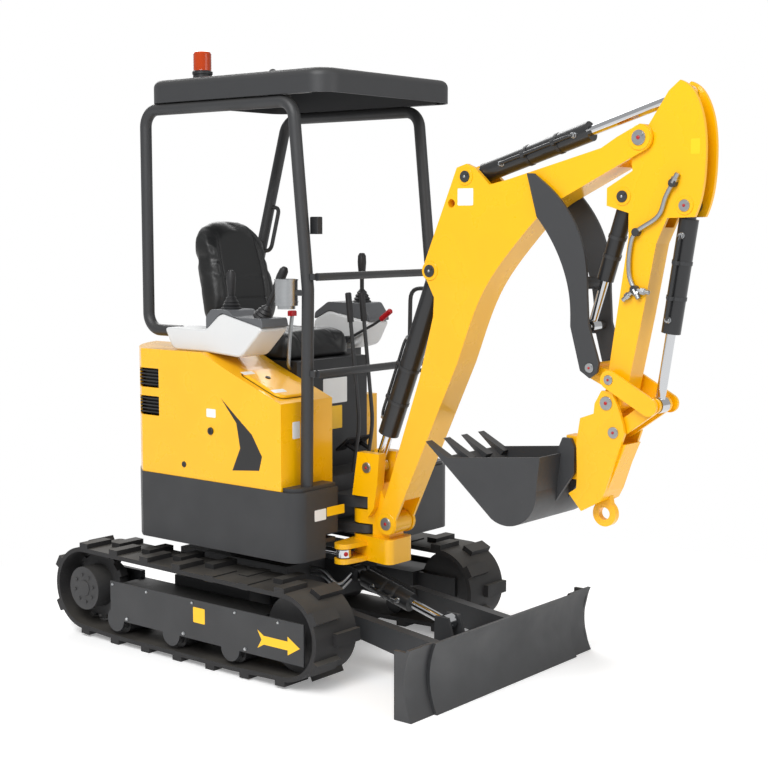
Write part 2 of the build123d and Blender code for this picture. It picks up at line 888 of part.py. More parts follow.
with BuildPart() as joysticks:
    for (x_range, y_range, z_range) in (console_right, console_left):
        spot = (slew_x + x_range[1] - 70, sum(y_range) / 2)
        upright(spot, 40, z_range[1] + seat_gap, z_range[1] + 40)
        upright(spot, 16, z_range[1] + 40, z_range[1] + 190)
keep(joysticks, "joysticks")

with BuildPart() as travel_levers:
    for y in (-30, 60):
        upright((slew_x + 400, y), 9, floor_high + seat_gap, 1520)
        upright((slew_x + 400, y), 16, 1420, 1560)
keep(travel_levers, "travel_levers")

# Canopy: tube loops, rails, roof and beacon


def tube(points, radius, bend, feet):
    """Round tube along straight runs joined by bends, trimmed level at its feet."""
    with BuildPart() as pipe:
        with BuildLine() as path:
            FilletPolyline(*points, radius=bend)
        with BuildSketch(Plane(path.line @ 0, z_dir=path.line % 0)):
            Circle(radius)
        sweep()
        for x, y, z in feet:
            block((x - foot_trim, y - foot_trim, z - foot_trim), (x + foot_trim, y + foot_trim, z), Mode.SUBTRACT)
    return pipe


floor_seat = floor_high + seat_gap
hood_seat = rear_hood_high + seat_gap
foot_right = (slew_x + post_front, -tube_y, floor_seat)
foot_left = (slew_x + post_front, tube_y, floor_seat)
foot_rear = (slew_x + rear_foot[0], rear_foot[1], hood_seat)
canopy_right = tube(
    [
        (slew_x + console_right[0][0] - seat_gap, -tube_y, elbow_high),
        (slew_x + post_rear, -tube_y, elbow_high),
        (slew_x + post_rear, -tube_y, tube_top),
        (slew_x + post_head, -tube_y, tube_top),
        (slew_x + post_knee[0], -tube_y, post_knee[1]),
        (slew_x + post_front, -tube_y, floor_seat - foot_sink),
    ],
    tube_radius,
    tube_bend,
    [foot_right],
)
keep(canopy_right, "canopy_right")
canopy_left = tube(
    [
        (slew_x + rear_foot[0], rear_foot[1], hood_seat - foot_sink),
        (slew_x + rear_head, tube_y, tube_top),
        (slew_x + post_head, tube_y, tube_top),
        (slew_x + post_knee[0], tube_y, post_knee[1]),
        (slew_x + post_front, tube_y, floor_seat - foot_sink),
    ],
    tube_radius,
    tube_bend,
    [foot_left, foot_rear],
)
keep(canopy_left, "canopy_left")

with BuildPart() as canopy_rails:
    for z, seat in zip(rail_heights, rail_seats):
        round_bar((slew_x + rail_ahead, z), rail_radius, -tube_y, tube_y)
        for side in (-1, 1):
            block(
                (slew_x + seat, side * tube_y - rail_bracket, z - rail_bracket),
                (slew_x + rail_ahead, side * tube_y + rail_bracket, z + rail_bracket),
            )
keep(canopy_rails, "canopy_rails")

roof_low = tube_top + tube_radius + seat_gap
with BuildPart() as roof:
    middle = slew_x + roof_front - roof_length / 2
    with BuildSketch(Plane.XY.offset(roof_low)):
        with Locations((middle, 0)):
            RectangleRounded(roof_length, 2 * roof_half, roof_corner)
    extrude(amount=roof_high - roof_low)
    fillet(roof.faces().sort_by(Axis.Z)[-1].edges(), roof_edge)
    low_face = roof.faces().sort_by(Axis.Z)[0]
    offset(amount=-roof_wall, openings=low_face)
    for side in (-1, 1):
        block(
            (middle - roof_length / 2 + roof_corner, side * tube_y - roof_rib / 2, roof_low),
            (middle + roof_length / 2 - roof_corner, side * tube_y + roof_rib / 2, roof_high - roof_wall / 2),
        )
keep(roof, "roof")

with BuildPart() as beacon:
    upright((slew_x + beacon_at[0], beacon_at[1]), beacon_radius, roof_high + seat_gap, roof_high + 40)
    upright((slew_x + beacon_at[0], beacon_at[1]), beacon_radius - 4, roof_high + 40, roof_high + beacon_height)
keep(beacon, "beacon")

# Swing ram under the deck
ear = (swing_x, boom_y - ear_reach)
ear_mid = sum(post_levels[0]) / 2 - (post_levels[0][1] - post_levels[0][0]) / 2 + ear_plate + side_clear
ear_z = ear_mid + ear_eye_height / 2
swing_base_x = swing_x - swing_ram_length
ram_line = Plane(origin=(swing_base_x, ear[1], ear_z), x_dir=(0, 1, 0), z_dir=(1, 0, 0))
with BuildPart() as swing_ram_barrel:
    radius, rod, gland, eye_radius = swing_ram
    upright((swing_base_x, ear[1]), eye_radius, ear_z - eye_half, deck_low - seat_gap)
    with BuildSketch(ram_line) as outside:
        Circle(radius * ram_neck)
    extrude(outside.sketch, amount=2 * eye_radius)
    with BuildSketch(ram_line.offset(eye_radius * 1.2)) as outside:
        Circle(radius)
    extrude(outside.sketch, amount=gland - eye_radius * 1.2)
    with BuildSketch(ram_line.offset(gland)) as bore:
        Circle(rod + pin_clear)
    extrude(bore.sketch, amount=-(gland - eye_radius * ram_neck * 2), mode=Mode.SUBTRACT)
keep(swing_ram_barrel, "swing_ram_barrel")

with BuildPart() as swing_ram_rod:
    with BuildSketch(ram_line.offset(gland - swing_inside)) as bar:
        Circle(rod)
    extrude(bar.sketch, amount=swing_ram_length - gland + swing_inside)
    upright(ear, eye_radius, ear_z - ear_eye_height / 2, ear_z + ear_eye_height / 2)
keep(swing_ram_rod, "swing_ram_rod")

# Swing post: knuckles on the king pin, ears for the swing ram, cheeks for the boom ram, tongue for the boom
with BuildPart() as swing_post:
    low, high = post_levels[0]
    level_hull(
        [
            swing_axis,
            (swing_x + chin_ahead - 30, boom_y - chin_half + 30),
            (swing_x + chin_ahead - 30, boom_y + chin_half - 30),
        ],
        [knuckle_radius, 30, 30],
        low,
        high,
    )
    level_hull([swing_axis, ear], [knuckle_radius, ear_radius], low, low + ear_plate)
    upper_ear = low + ear_plate + ear_eye_height + 2 * side_clear
    level_hull([swing_axis, ear], [knuckle_radius, ear_radius], upper_ear, upper_ear + ear_plate)
    for low, high in post_levels[1:]:
        level_hull(
            [swing_axis, (swing_x + 70, boom_y - 30), (swing_x + 70, boom_y + 30)],
            [knuckle_radius, 15, 15],
            low,
            high,
        )
    flat_plate(
        [
            (swing_x + 62, post_levels[0][1] - 5),
            (swing_x + foot_reach, post_levels[0][1] - 5),
            (swing_x + foot_reach, foot_z + foot_boss),
            (swing_x + 92, post_levels[2][1]),
            (swing_x + 62, post_levels[2][1]),
        ],
        boom_y - tongue_half,
        boom_y + tongue_half,
    )
    round_bar(foot, foot_boss - 3, boom_y - tongue_half, boom_y + tongue_half)
    both_sides(
        [
            (swing_x - 20, post_levels[2][0] + 2),
            (swing_x + 60, post_levels[2][0] + 2),
            (swing_x + 60, post_levels[1][0] + 30),
            (swing_x + 90, post_levels[1][0] + 70),
            (swing_x + 108, post_levels[2][1]),
            (swing_x + 118, cheek_high),
            (swing_x + 8, cheek_high),
        ],
        eye_half + side_clear + 2,
        cheek_half,
    )
    upright(swing_axis, king_radius + pin_clear, post_levels[0][0] - 1, post_levels[2][1] + 1, Mode.SUBTRACT)
    round_bar(foot, foot_pin + pin_clear, boom_y - tongue_half, boom_y + tongue_half, Mode.SUBTRACT)
keep(swing_post, "swing_post")

# Boom: side plates and box, forked at both ends
with BuildPart() as boom:
    with BuildSketch(across(boom_y + boom_half)) as profile:
        with BuildLine():
            Polyline(*shifted(foot, [(-foot_boss, 0), (8, 145), (160, 578), (225, 817), (229, 890), (180, 980)]))
            Polyline(*shifted(foot, [(180, 980), (180, 1010), (332, 1369), (376, 1382), (412, 1367)]))
            Polyline(*shifted(foot, [(412, 1367), (479, 1305), (560, 1322), (942, 1421), (1003, 1456), (1089, 1497)]))
            ThreePointArc(*shifted(foot, [(1089, 1497), (1135, 1451), (1112, 1411)]))
            Line(shift(foot, (1112, 1411)), shift(foot, (774, 1246)))
            Spline(
                *shifted(foot, [(774, 1246), (622, 1122), (460, 927), (337, 645)]),
                tangents=[(-338, -165), (-120, -300)],
            )
            Line(shift(foot, (337, 645)), shift(foot, (44, 20)))
            ThreePointArc(*shifted(foot, [(44, 20), (0, -foot_boss), (-foot_boss, 0)]))
        make_face()
    extrude(profile.sketch, amount=2 * boom_half)
    with BuildSketch(across(boom_y + boom_half)) as holes:
        with Locations(shift(foot, (308, 1239))):
            Circle(16)
    extrude(holes.sketch, amount=2 * boom_half, mode=Mode.SUBTRACT)
    inner = boom_half - boom_plate
    for cell in boom_cells:
        flat_plate(shifted(foot, cell), boom_y - inner, boom_y + inner, mode=Mode.SUBTRACT)
    round_bar(foot, 130, boom_y - inner, boom_y + inner, Mode.SUBTRACT)
    round_bar(tip, 130, boom_y - inner, boom_y + inner, Mode.SUBTRACT)
    flat_plate(
        shifted(foot, [(325, 1310), (372, 1285), (480, 1290), (620, 1400), (325, 1400)]),
        boom_y - 42,
        boom_y + 42,
        mode=Mode.SUBTRACT,
    )
    flat_plate(
        shifted(foot, [(120, 880), (250, 880), (275, 1000), (255, 1050), (120, 1050)]),
        boom_y - 47,
        boom_y + 47,
        mode=Mode.SUBTRACT,
    )
    round_bar(foot, foot_pin, boom_y - boom_half, boom_y + boom_half)
    round_bar(tip, tip_pin, boom_y - boom_half, boom_y + boom_half)
    round_bar(boom_base, ram_pin, boom_y - boom_half, boom_y + boom_half)
    round_bar(arm_base, ram_pin, boom_y - boom_half, boom_y + boom_half)
keep(boom, "boom")

# Arm: head plates around the ram pins, box section down to the tip
gap = arm_half - arm_plate
with BuildPart() as arm:
    with BuildSketch(across(boom_y + arm_half)) as profile:
        with BuildLine():
            Polyline(
                *shifted(
                    tip,
                    [
                        (-46, 0), (-33, -109), (-131, -165), (-131, -225), (-45, -250), (-44, -334),
                        (-112, -787), (-200, -770), (-200, -815), (-120, -850), (-150, -905), (-109, -945),
                        (-70, -920), (-40, -860), (15, -599), (62, -353), (101, -267), (202, -264),
                    ],
                )
            )
            Spline(
                *shifted(tip, [(202, -264), (237, -89), (200, 128), (139, 183)]),
                tangents=[(20, 40), (-60, 20)],
            )
            Polyline(*shifted(tip, [(139, 183), (98, 150), (24, 40), (-46, 0)]))
        make_face()
    extrude(profile.sketch, amount=2 * arm_half)
    flat_plate(
        shifted(tip, [(-145, -150), (-145, -260), (60, -300), (260, -290), (260, 220), (-60, 220), (-60, -100)]),
        boom_y - gap,
        boom_y + gap,
        mode=Mode.SUBTRACT,
    )
    round_bar(tip, tip_boss, boom_y - arm_half, boom_y + arm_half)
    round_bar(tip, tip_pin + pin_clear, boom_y - arm_half, boom_y + arm_half, Mode.SUBTRACT)
    round_bar(toe, tip_pin + pin_clear, boom_y - arm_half, boom_y + arm_half, Mode.SUBTRACT)
    round_bar(bucket_base, ram_pin, boom_y - arm_half, boom_y + arm_half)
    round_bar(thumb_base, ram_pin, boom_y - arm_half, boom_y + arm_half)
    round_bar(shift(tip, link_pin_arm), ram_pin, boom_y - link_half, boom_y + link_half)
    round_bar(thumb_pivot, ram_pin, boom_y - thumb_half, boom_y + thumb_half)
keep(arm, "arm")

# Side links from the arm to the bucket ram's rod, and the push link from there to the coupler
link_at_arm = shift(tip, link_pin_arm)
joint = shift(toe, link_joint)
push_pin = shift(toe, coupler_pin)
with BuildPart() as side_links:
    for low in (boom_y - link_half, boom_y + link_half - link_plate_thick):
        round_link([link_at_arm, joint], [link_boss, link_boss], low, low + link_plate_thick)
        round_bar(link_at_arm, ram_pin + pin_clear, low, low + link_plate_thick, Mode.SUBTRACT)
keep(side_links, "side_links")

with BuildPart() as push_link:
    for low, high in ((boom_y - 44, boom_y - eye_half - side_clear), (boom_y + eye_half + side_clear, boom_y + 44)):
        round_link([push_pin, joint], [26, 26], low, high)
        round_bar(push_pin, ram_pin + pin_clear, low, high, Mode.SUBTRACT)
keep(push_link, "push_link")

# Quick coupler
inner = coupler_half - coupler_plate
with BuildPart() as quick_coupler:
    both_sides(
        shifted(
            toe,
            [
                (-46, -4), (-50, -40), (-104, -60), (-118, -147), (-113, -255), (-116, -310), (-147, -331),
                (-95, -389), (-18, -346), (1, -310), (73, -103), (68, -70), (46, -10), (20, 42), (-20, 42),
            ],
        ),
        inner,
        coupler_half,
    )
    flat_plate(
        shifted(toe, [(73, -140), (1, -310), (-18, -346), (-30, -330), (-11, -305), (60, -140)]),
        boom_y - inner,
        boom_y + inner,
    )
    flat_plate(
        shifted(toe, [(-112, -130), (-180, -130), (-180, -285), (-112, -285)]),
        boom_y - jaw_half,
        boom_y + jaw_half,
    )
    flat_plate(
        shifted(toe, [(-120, -200), (-40, -250), (0, -296), (-10, -322), (-120, -285)]),
        boom_y - inner,
        boom_y + inner,
    )
    for pin in bucket_pins:
        round_bar(shift(toe, pin), bucket_pin + pin_clear, boom_y - jaw_half, boom_y + jaw_half, Mode.SUBTRACT)
    round_bar(toe, tip_pin, boom_y - coupler_half, boom_y + coupler_half)
    round_bar(push_pin, ram_pin, boom_y - coupler_half, boom_y + coupler_half)
    round_bar(shift(toe, hook_eye), hook_bore + 24, boom_y - hook_half, boom_y + hook_half)
    flat_plate(
        shifted(toe, [(-70, -380), (-60, -330), (-12, -325), (0, -380)]),
        boom_y - hook_half,
        boom_y + hook_half,
    )
    round_bar(shift(toe, hook_eye), hook_bore, boom_y - hook_half, boom_y + hook_half, Mode.SUBTRACT)
keep(quick_coupler, "quick_coupler")

# Bucket with ears, pins and teeth
def bucket_section(y, rise):
    """Bucket's side outline at y, with its lip and rim drawn out along their walls by a rise."""
    lip = Vector(*bucket_lip) + (Vector(*bucket_lip) - Vector(*bucket_heel)).normalized() * rise
    rim = Vector(*bucket_rim) + (Vector(*bucket_rim) - Vector(*bucket_back)).normalized() * rise
    with BuildSketch(across(y)) as section:
        with BuildLine():
            Line(shift(toe, (lip.X, lip.Y)), shift(toe, bucket_heel))
            ThreePointArc(*shifted(toe, [bucket_heel, bucket_belly, bucket_back]))
            Polyline(*shifted(toe, [bucket_back, (rim.X, rim.Y), (lip.X, lip.Y)]))
        make_face()
        if rise:
            offset(amount=-bucket_sheet, mode=Mode.REPLACE)
    return section.sketch


with BuildPart() as bucket:
    extrude(bucket_section(boom_y + bucket_half, 0.0), amount=2 * bucket_half)
    inside = bucket_half - bucket_sheet
    extrude(bucket_section(boom_y + inside, 60.0), amount=2 * inside, mode=Mode.SUBTRACT)
    along = Vector(bucket_lip[0] - bucket_heel[0], 0, bucket_lip[1] - bucket_heel[1]).normalized()
    root = shift(toe, bucket_lip)
    for k in range(tooth_count):
        y = boom_y - bucket_half + tooth_width / 2 + k * (2 * bucket_half - tooth_width) / (tooth_count - 1)
        flat_plate(
            [
                (root[0] - along.X * 50, root[1] - along.Z * 50),
                (root[0] + along.X * tooth_length, root[1] + along.Z * tooth_length),
                (root[0] - along.X * 50 + 20, root[1] - along.Z * 50 + 24),
            ],
            y - tooth_width / 2,
            y + tooth_width / 2,
        )
    both_sides(
        shifted(
            toe,
            [(-205, -185), (-185, -138), (-150, -138), (-135, -170), (-135, -260), (-215, -375), (-225, -330)],
        ),
        ear_half - bucket_ear,
        ear_half,
    )
    for pin in bucket_pins:
        round_bar(shift(toe, pin), bucket_pin, boom_y - ear_half, boom_y + ear_half)
keep(bucket, "bucket")

# Thumb: two toothed plates joined by a cross tube
with BuildPart() as thumb:
    for low in (boom_y - thumb_half, boom_y + thumb_half - thumb_plate):
        with BuildSketch(across(low + thumb_plate)) as profile:
            with BuildLine():
                Polyline(*shifted(thumb_pivot, [(30, -15), (36, 20), (-8, 150), (-15, 260)]))
                Spline(
                    *shifted(thumb_pivot, [(-15, 260), (-60, 480), (-150, 600), (-240, 670)]),
                    tangents=[(0, 100), (-100, 70)],
                )
                Polyline(*shifted(thumb_pivot, [(-240, 670), (-268, 672), (-225, 520)]))
                Spline(
                    *shifted(thumb_pivot, [(-225, 520), (-130, 380), (-85, 240), (-80, 140)]),
                    tangents=[(70, -80), (0, -100)],
                )
                Polyline(*shifted(thumb_pivot, [(-80, 140), (-38, -12), (0, -36), (30, -15)]))
            make_face()
        extrude(profile.sketch, amount=thumb_plate)
    round_bar(shift(thumb_pivot, (-52, 290)), 22, boom_y - thumb_half, boom_y + thumb_half)
    for low, high in (
        (boom_y - thumb_half, boom_y - eye_half - side_clear),
        (boom_y + eye_half + side_clear, boom_y + thumb_half),
    ):
        round_bar(thumb_rod_eye, ram_pin, low, high)
    round_bar(thumb_pivot, ram_pin + pin_clear, boom_y - thumb_half, boom_y + thumb_half, Mode.SUBTRACT)
keep(thumb, "thumb")
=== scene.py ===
"""Looks of a parked mini excavator: paint, rubber, seat, controls, pipes, fasteners and a studio.

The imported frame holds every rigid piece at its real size. This script dresses those pieces and adds what is
too small or too soft for the frame. Lengths are metres in the frame's axes: +X forward, +Y left, +Z up.
"""

from __future__ import annotations

import json
import logging
import math
from dataclasses import dataclass, field
from enum import Enum
from typing import Any, Sequence

import bpy
import numpy as np
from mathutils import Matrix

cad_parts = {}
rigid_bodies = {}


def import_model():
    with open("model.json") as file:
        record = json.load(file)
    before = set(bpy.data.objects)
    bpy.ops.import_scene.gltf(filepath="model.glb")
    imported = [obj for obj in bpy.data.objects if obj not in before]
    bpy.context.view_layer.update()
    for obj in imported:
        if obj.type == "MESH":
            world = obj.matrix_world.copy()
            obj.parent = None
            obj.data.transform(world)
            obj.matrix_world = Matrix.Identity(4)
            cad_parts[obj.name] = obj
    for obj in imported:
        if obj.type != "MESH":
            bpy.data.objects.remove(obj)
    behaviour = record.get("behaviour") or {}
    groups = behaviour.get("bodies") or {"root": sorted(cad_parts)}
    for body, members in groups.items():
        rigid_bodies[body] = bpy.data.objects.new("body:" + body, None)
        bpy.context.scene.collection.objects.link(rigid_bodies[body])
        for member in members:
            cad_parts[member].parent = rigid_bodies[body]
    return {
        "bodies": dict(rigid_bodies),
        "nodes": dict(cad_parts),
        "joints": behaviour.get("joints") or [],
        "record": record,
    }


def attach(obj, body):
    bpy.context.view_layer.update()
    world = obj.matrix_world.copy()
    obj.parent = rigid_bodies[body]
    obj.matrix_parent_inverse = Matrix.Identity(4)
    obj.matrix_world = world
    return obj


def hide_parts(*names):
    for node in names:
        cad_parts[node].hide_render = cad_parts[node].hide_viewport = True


LOG = logging.getLogger("mini_excavator")
MM = 0.001
Array = np.ndarray
Point = Sequence[float]
RIGHT = (0.0, -1.0, 0.0)
LEFT = (0.0, 1.0, 0.0)
UP = (0.0, 0.0, 1.0)
AHEAD = (1.0, 0.0, 0.0)
HOOD_SLOPE = (0.36, 0.0, 0.933)
# Planes that added pieces stand on, in millimetres from the middle plane.
HOOD_Y = -486.0
COVER_Y = 594.0
ARM_Y = -145.0
ARM_PIPE_Y = -157.0


def linear(code: str) -> tuple[float, float, float, float]:
    """Turn an sRGB hex colour into linear light.

    Args:
        code: colour such as "#FFC20A".

    Returns:
        Red, green, blue and an alpha of 1.
    """
    parts = np.array([int(code[k : k + 2], 16) / 255.0 for k in (1, 3, 5)])
    light = np.where(parts <= 0.04045, parts / 12.92, ((parts + 0.055) / 1.055) ** 2.4)
    return (*light.tolist(), 1.0)


def add_node(
    tree: bpy.types.NodeTree, kind: str, output: str, inputs: dict[Any, Any], **settings: Any
) -> bpy.types.NodeSocket:
    """Add a shader node with its settings, values and links.

    Args:
        tree: node tree that takes the node.
        kind: node type's name after the common "ShaderNode".
        output: name of the output to hand on.
        inputs: socket name or number to a value, or to an output socket to link.
        settings: properties of the node.

    Returns:
        The named output of the new node.
    """
    made = tree.nodes.new(f"ShaderNode{kind}")
    for key, value in settings.items():
        setattr(made, key, value)
    for key, value in inputs.items():
        if isinstance(value, bpy.types.NodeSocket):
            tree.links.new(value, made.inputs[key])
        else:
            made.inputs[key].default_value = value
    return made.outputs[output]


class Grain(Enum):
    """How a surface was made, which sets the fine relief that light catches."""

    SPRAYED = "sprayed"
    MOULDED = "moulded"
    HIDE = "hide"
    DRAWN = "drawn"
    CAST = "cast"


@dataclass(frozen=True)
class Finish:
    """One real surface finish as a procedural material."""

    name: str
    colour: str
    drift: str
    grain: Grain
    grain_mm: float
    relief_mm: float
    roughness: tuple[float, float]
    metallic: float = 0.0
    ior: float = 1.5
    coat: float = 0.0
    drift_mm: float = 160.0
    dust: float = 0.0
    dust_colour: str = "#8C8578"
    scuff: float = 0.0
    scuff_colour: str = "#6E6A64"
    scuff_mm: float = 24.0
    transmission: float = 0.0

    def relief(self, tree: bpy.types.NodeTree, place: bpy.types.NodeSocket) -> bpy.types.NodeSocket:
        """Height of the fine relief, as noise, cells or streaks.

        Args:
            tree: node tree of the material.
            place: Object coordinates.

        Returns:
            Socket with the height from 0 to 1.
        """
        scale = 1.0 / (self.grain_mm * MM)
        if self.grain is Grain.HIDE:
            cells = {"Vector": place, "Scale": scale}
            return add_node(tree, "TexVoronoi", "Distance", cells, feature="DISTANCE_TO_EDGE")
        if self.grain is Grain.DRAWN:
            place = add_node(tree, "Mapping", "Vector", {"Vector": place, "Scale": (1.0, 1.0, 0.06)})
        detail = 6.0 if self.grain is Grain.CAST else 2.0
        return add_node(tree, "TexNoise", "Fac", {"Vector": place, "Scale": scale, "Detail": detail})

    def tone(
        self, tree: bpy.types.NodeTree, place: bpy.types.NodeSocket, patches: bpy.types.NodeSocket
    ) -> bpy.types.NodeSocket:
        """Colour that drifts between two tones, with scuffs, and with dust on what faces up.

        Args:
            tree: node tree of the material.
            place: Object coordinates.
            patches: slow noise from 0 to 1.

        Returns:
            Socket with the colour.
        """
        tones = {"Factor": patches, "A": linear(self.colour), "B": linear(self.drift)}
        base = add_node(tree, "Mix", "Result", tones, data_type="RGBA")
        if self.scuff > 0.0:
            noise = {"Vector": place, "Scale": 1.0 / (self.scuff_mm * MM), "Detail": 9.0, "Roughness": 0.72}
            scratches = add_node(tree, "TexNoise", "Fac", noise)
            span = {"From Min": 0.68 - 0.2 * self.scuff, "From Max": 0.8, "To Max": self.scuff}
            marks = add_node(tree, "MapRange", "Result", {"Value": scratches, **span})
            worn = {"Factor": marks, "A": base, "B": linear(self.scuff_colour)}
            base = add_node(tree, "Mix", "Result", worn, data_type="RGBA")
        if self.dust > 0.0:
            normal = add_node(tree, "NewGeometry", "Normal", {})
            height = add_node(tree, "SeparateXYZ", "Z", {"Vector": normal})
            span = {"From Min": 0.1, "From Max": 1.0, "To Max": self.dust}
            settled = add_node(tree, "MapRange", "Result", {"Value": height, **span})
            factors = {0: settled, 1: patches}
            uneven = add_node(tree, "Math", "Value", factors, operation="MULTIPLY", use_clamp=True)
            dusty = {"Factor": uneven, "A": base, "B": linear(self.dust_colour)}
            base = add_node(tree, "Mix", "Result", dusty, data_type="RGBA")
        return base

    def build(self) -> bpy.types.Material:
        """Make the material from its tone, roughness and relief.

        Returns:
            The finished material.
        """
        material = bpy.data.materials.new(self.name)
        material.use_nodes = True
        tree = material.node_tree
        shader = tree.nodes["Principled BSDF"]
        place = add_node(tree, "TexCoord", "Object", {})
        slow = {"Vector": place, "Scale": 1.0 / (self.drift_mm * MM), "Detail": 5.0}
        patches = add_node(tree, "TexNoise", "Fac", slow)
        tree.links.new(self.tone(tree, place, patches), shader.inputs["Base Color"])
        low, high = self.roughness
        span = {"From Min": 0.3, "From Max": 0.7, "To Min": low, "To Max": high}
        gloss = add_node(tree, "MapRange", "Result", {"Value": patches, **span})
        tree.links.new(gloss, shader.inputs["Roughness"])
        depth = {"Height": self.relief(tree, place), "Distance": self.relief_mm * MM, "Strength": 0.6}
        tree.links.new(add_node(tree, "Bump", "Normal", depth), shader.inputs["Normal"])
        shader.inputs["Metallic"].default_value = self.metallic
        if self.metallic == 0.0:
            shader.inputs["IOR"].default_value = self.ior
        shader.inputs["Coat Weight"].default_value = self.coat
        shader.inputs["Transmission Weight"].default_value = self.transmission
        return material


class Paint:
    """The object's finishes, each named for its real material and made once."""

    # Two-pack enamel sprayed on steel: a glossy yellow with a faint orange-peel ripple.
    YELLOW = Finish(
        "yellow_enamel", "#FBBC00", "#F4B100", Grain.SPRAYED, 5.0, 0.05, (0.24, 0.34), coat=0.25, dust=0.05
    )
    # Powder coat on plate: a satin charcoal with a fine stipple and a little dust.
    CHARCOAL = Finish(
        "charcoal_powder_coat", "#323335", "#2B2C2E", Grain.SPRAYED, 3.0, 0.08, (0.42, 0.55), dust=0.12
    )
    # The same coat on the digging tools, scuffed to grey where soil rubs.
    TOOL = Finish(
        "scuffed_powder_coat", "#3A3B3D", "#303133", Grain.SPRAYED, 4.0, 0.1, (0.4, 0.58),
        scuff=0.25, dust=0.1,
    )
    # Black enamel on the ram barrels: deep and even.
    BARREL = Finish(
        "black_enamel", "#232426", "#1D1E20", Grain.SPRAYED, 4.0, 0.04, (0.28, 0.36), coat=0.2, dust=0.06
    )
    # Hard chrome on ground bar: mirror-like with faint grinding lines.
    CHROME = Finish("hard_chrome", "#D9DADC", "#CBCDD0", Grain.DRAWN, 1.5, 0.01, (0.07, 0.13), metallic=1.0)
    # Zinc plate on bolts, fittings and pipes: pale, slightly cloudy metal.
    ZINC = Finish(
        "zinc_plate", "#B9BBBD", "#A3A6A8", Grain.CAST, 2.5, 0.02, (0.28, 0.42), metallic=1.0, drift_mm=12.0
    )
    # Carbon-black track rubber, moulded and rubbed grey by dust.
    TRACK = Finish(
        "track_rubber", "#1E1E1F", "#282728", Grain.MOULDED, 4.0, 0.25, (0.62, 0.8), dust=0.28, scuff=0.1
    )
    # Smooth black rubber of boots, grips, pedals and seals.
    RUBBER = Finish(
        "black_rubber", "#18181A", "#202022", Grain.MOULDED, 2.0, 0.06, (0.45, 0.6), drift_mm=40.0
    )
    # Moulded ABS with a spark-eroded texture, black.
    PLASTIC = Finish(
        "black_abs", "#1B1C1E", "#222325", Grain.MOULDED, 1.6, 0.08, (0.4, 0.52), drift_mm=60.0
    )
    # Moulded ABS, off-white, for the console shells.
    SHELL = Finish("white_abs", "#D8D9D9", "#CFD0D1", Grain.MOULDED, 1.8, 0.05, (0.34, 0.44), dust=0.05)
    # Grey ABS of the console tops.
    TOP = Finish("grey_abs", "#5B5D60", "#525457", Grain.MOULDED, 1.8, 0.06, (0.4, 0.5))
    # Seat vinyl pressed with a hide pattern.
    VINYL = Finish("seat_vinyl", "#0D0E0F", "#141516", Grain.HIDE, 6.0, 0.25, (0.38, 0.5), drift_mm=90.0)
    # Grey cast iron of the hub, rollers and engine.
    CAST = Finish("grey_iron", "#3B3B3C", "#2E2E2F", Grain.CAST, 5.0, 0.2, (0.5, 0.68), dust=0.15)
    # Polycarbonate lens, amber, lit through.
    AMBER = Finish(
        "amber_polycarbonate", "#C84202", "#B63A00", Grain.MOULDED, 3.0, 0.02, (0.08, 0.12), transmission=0.15
    )
    # Red dip-moulded vinyl of knobs and pin caps.
    RED = Finish("red_vinyl", "#B5121B", "#A20F17", Grain.MOULDED, 3.0, 0.02, (0.3, 0.38))
    # Self-adhesive vinyl film: plain white, yellow and black; the black also serves as a painted shade sheet
    # behind the hood louvres.
    WHITE_FILM = Finish("white_film", "#EDEDEB", "#E6E6E4", Grain.MOULDED, 8.0, 0.01, (0.3, 0.36))
    YELLOW_FILM = Finish("yellow_film", "#FFC814", "#F9C010", Grain.MOULDED, 8.0, 0.01, (0.3, 0.36))
    BLACK_FILM = Finish("black_film", "#1A1A1B", "#1E1E1F", Grain.MOULDED, 8.0, 0.01, (0.3, 0.36))

    _made: dict[str, bpy.types.Material] = {}

    @classmethod
    def get(cls, finish: Finish) -> bpy.types.Material:
        """Material of a finish, made on first use."""
        if finish.name not in cls._made:
            cls._made[finish.name] = finish.build()
        return cls._made[finish.name]


def unit(vector: Point) -> Array:
    """Vector of length 1 along a vector."""
    values = np.asarray(vector, float)
    return values / np.linalg.norm(values)


@dataclass
class Shape:
    """Points and faces of a mesh before it becomes a piece."""

    points: Array
    faces: list[tuple[int, ...]]

    def placed(self, origin: Point, axis: Point = UP, across: Point = AHEAD) -> "Shape":
        """Move the shape so that its local Z lies along an axis and its local X near a second direction.

        Args:
            origin: new place of the local origin.
            axis: direction of local Z.
            across: direction that local X leans to.

        Returns:
            The moved shape.
        """
        z = unit(axis)
        x = unit(np.asarray(across, float) - z * np.dot(across, z))
        turn = np.stack([x, np.cross(z, x), z])
        return Shape(self.points @ turn + np.asarray(origin, float), self.faces)

    def __add__(self, other: "Shape") -> "Shape":
        """Both shapes as one."""
        start = len(self.points)
        moved = [tuple(k + start for k in face) for face in other.faces]
        return Shape(np.vstack([self.points, other.points]), self.faces + moved)


def merged(shapes: Sequence[Shape]) -> Shape:
    """Several shapes as one."""
    total = shapes[0]
    for shape in shapes[1:]:
        total = total + shape
    return total


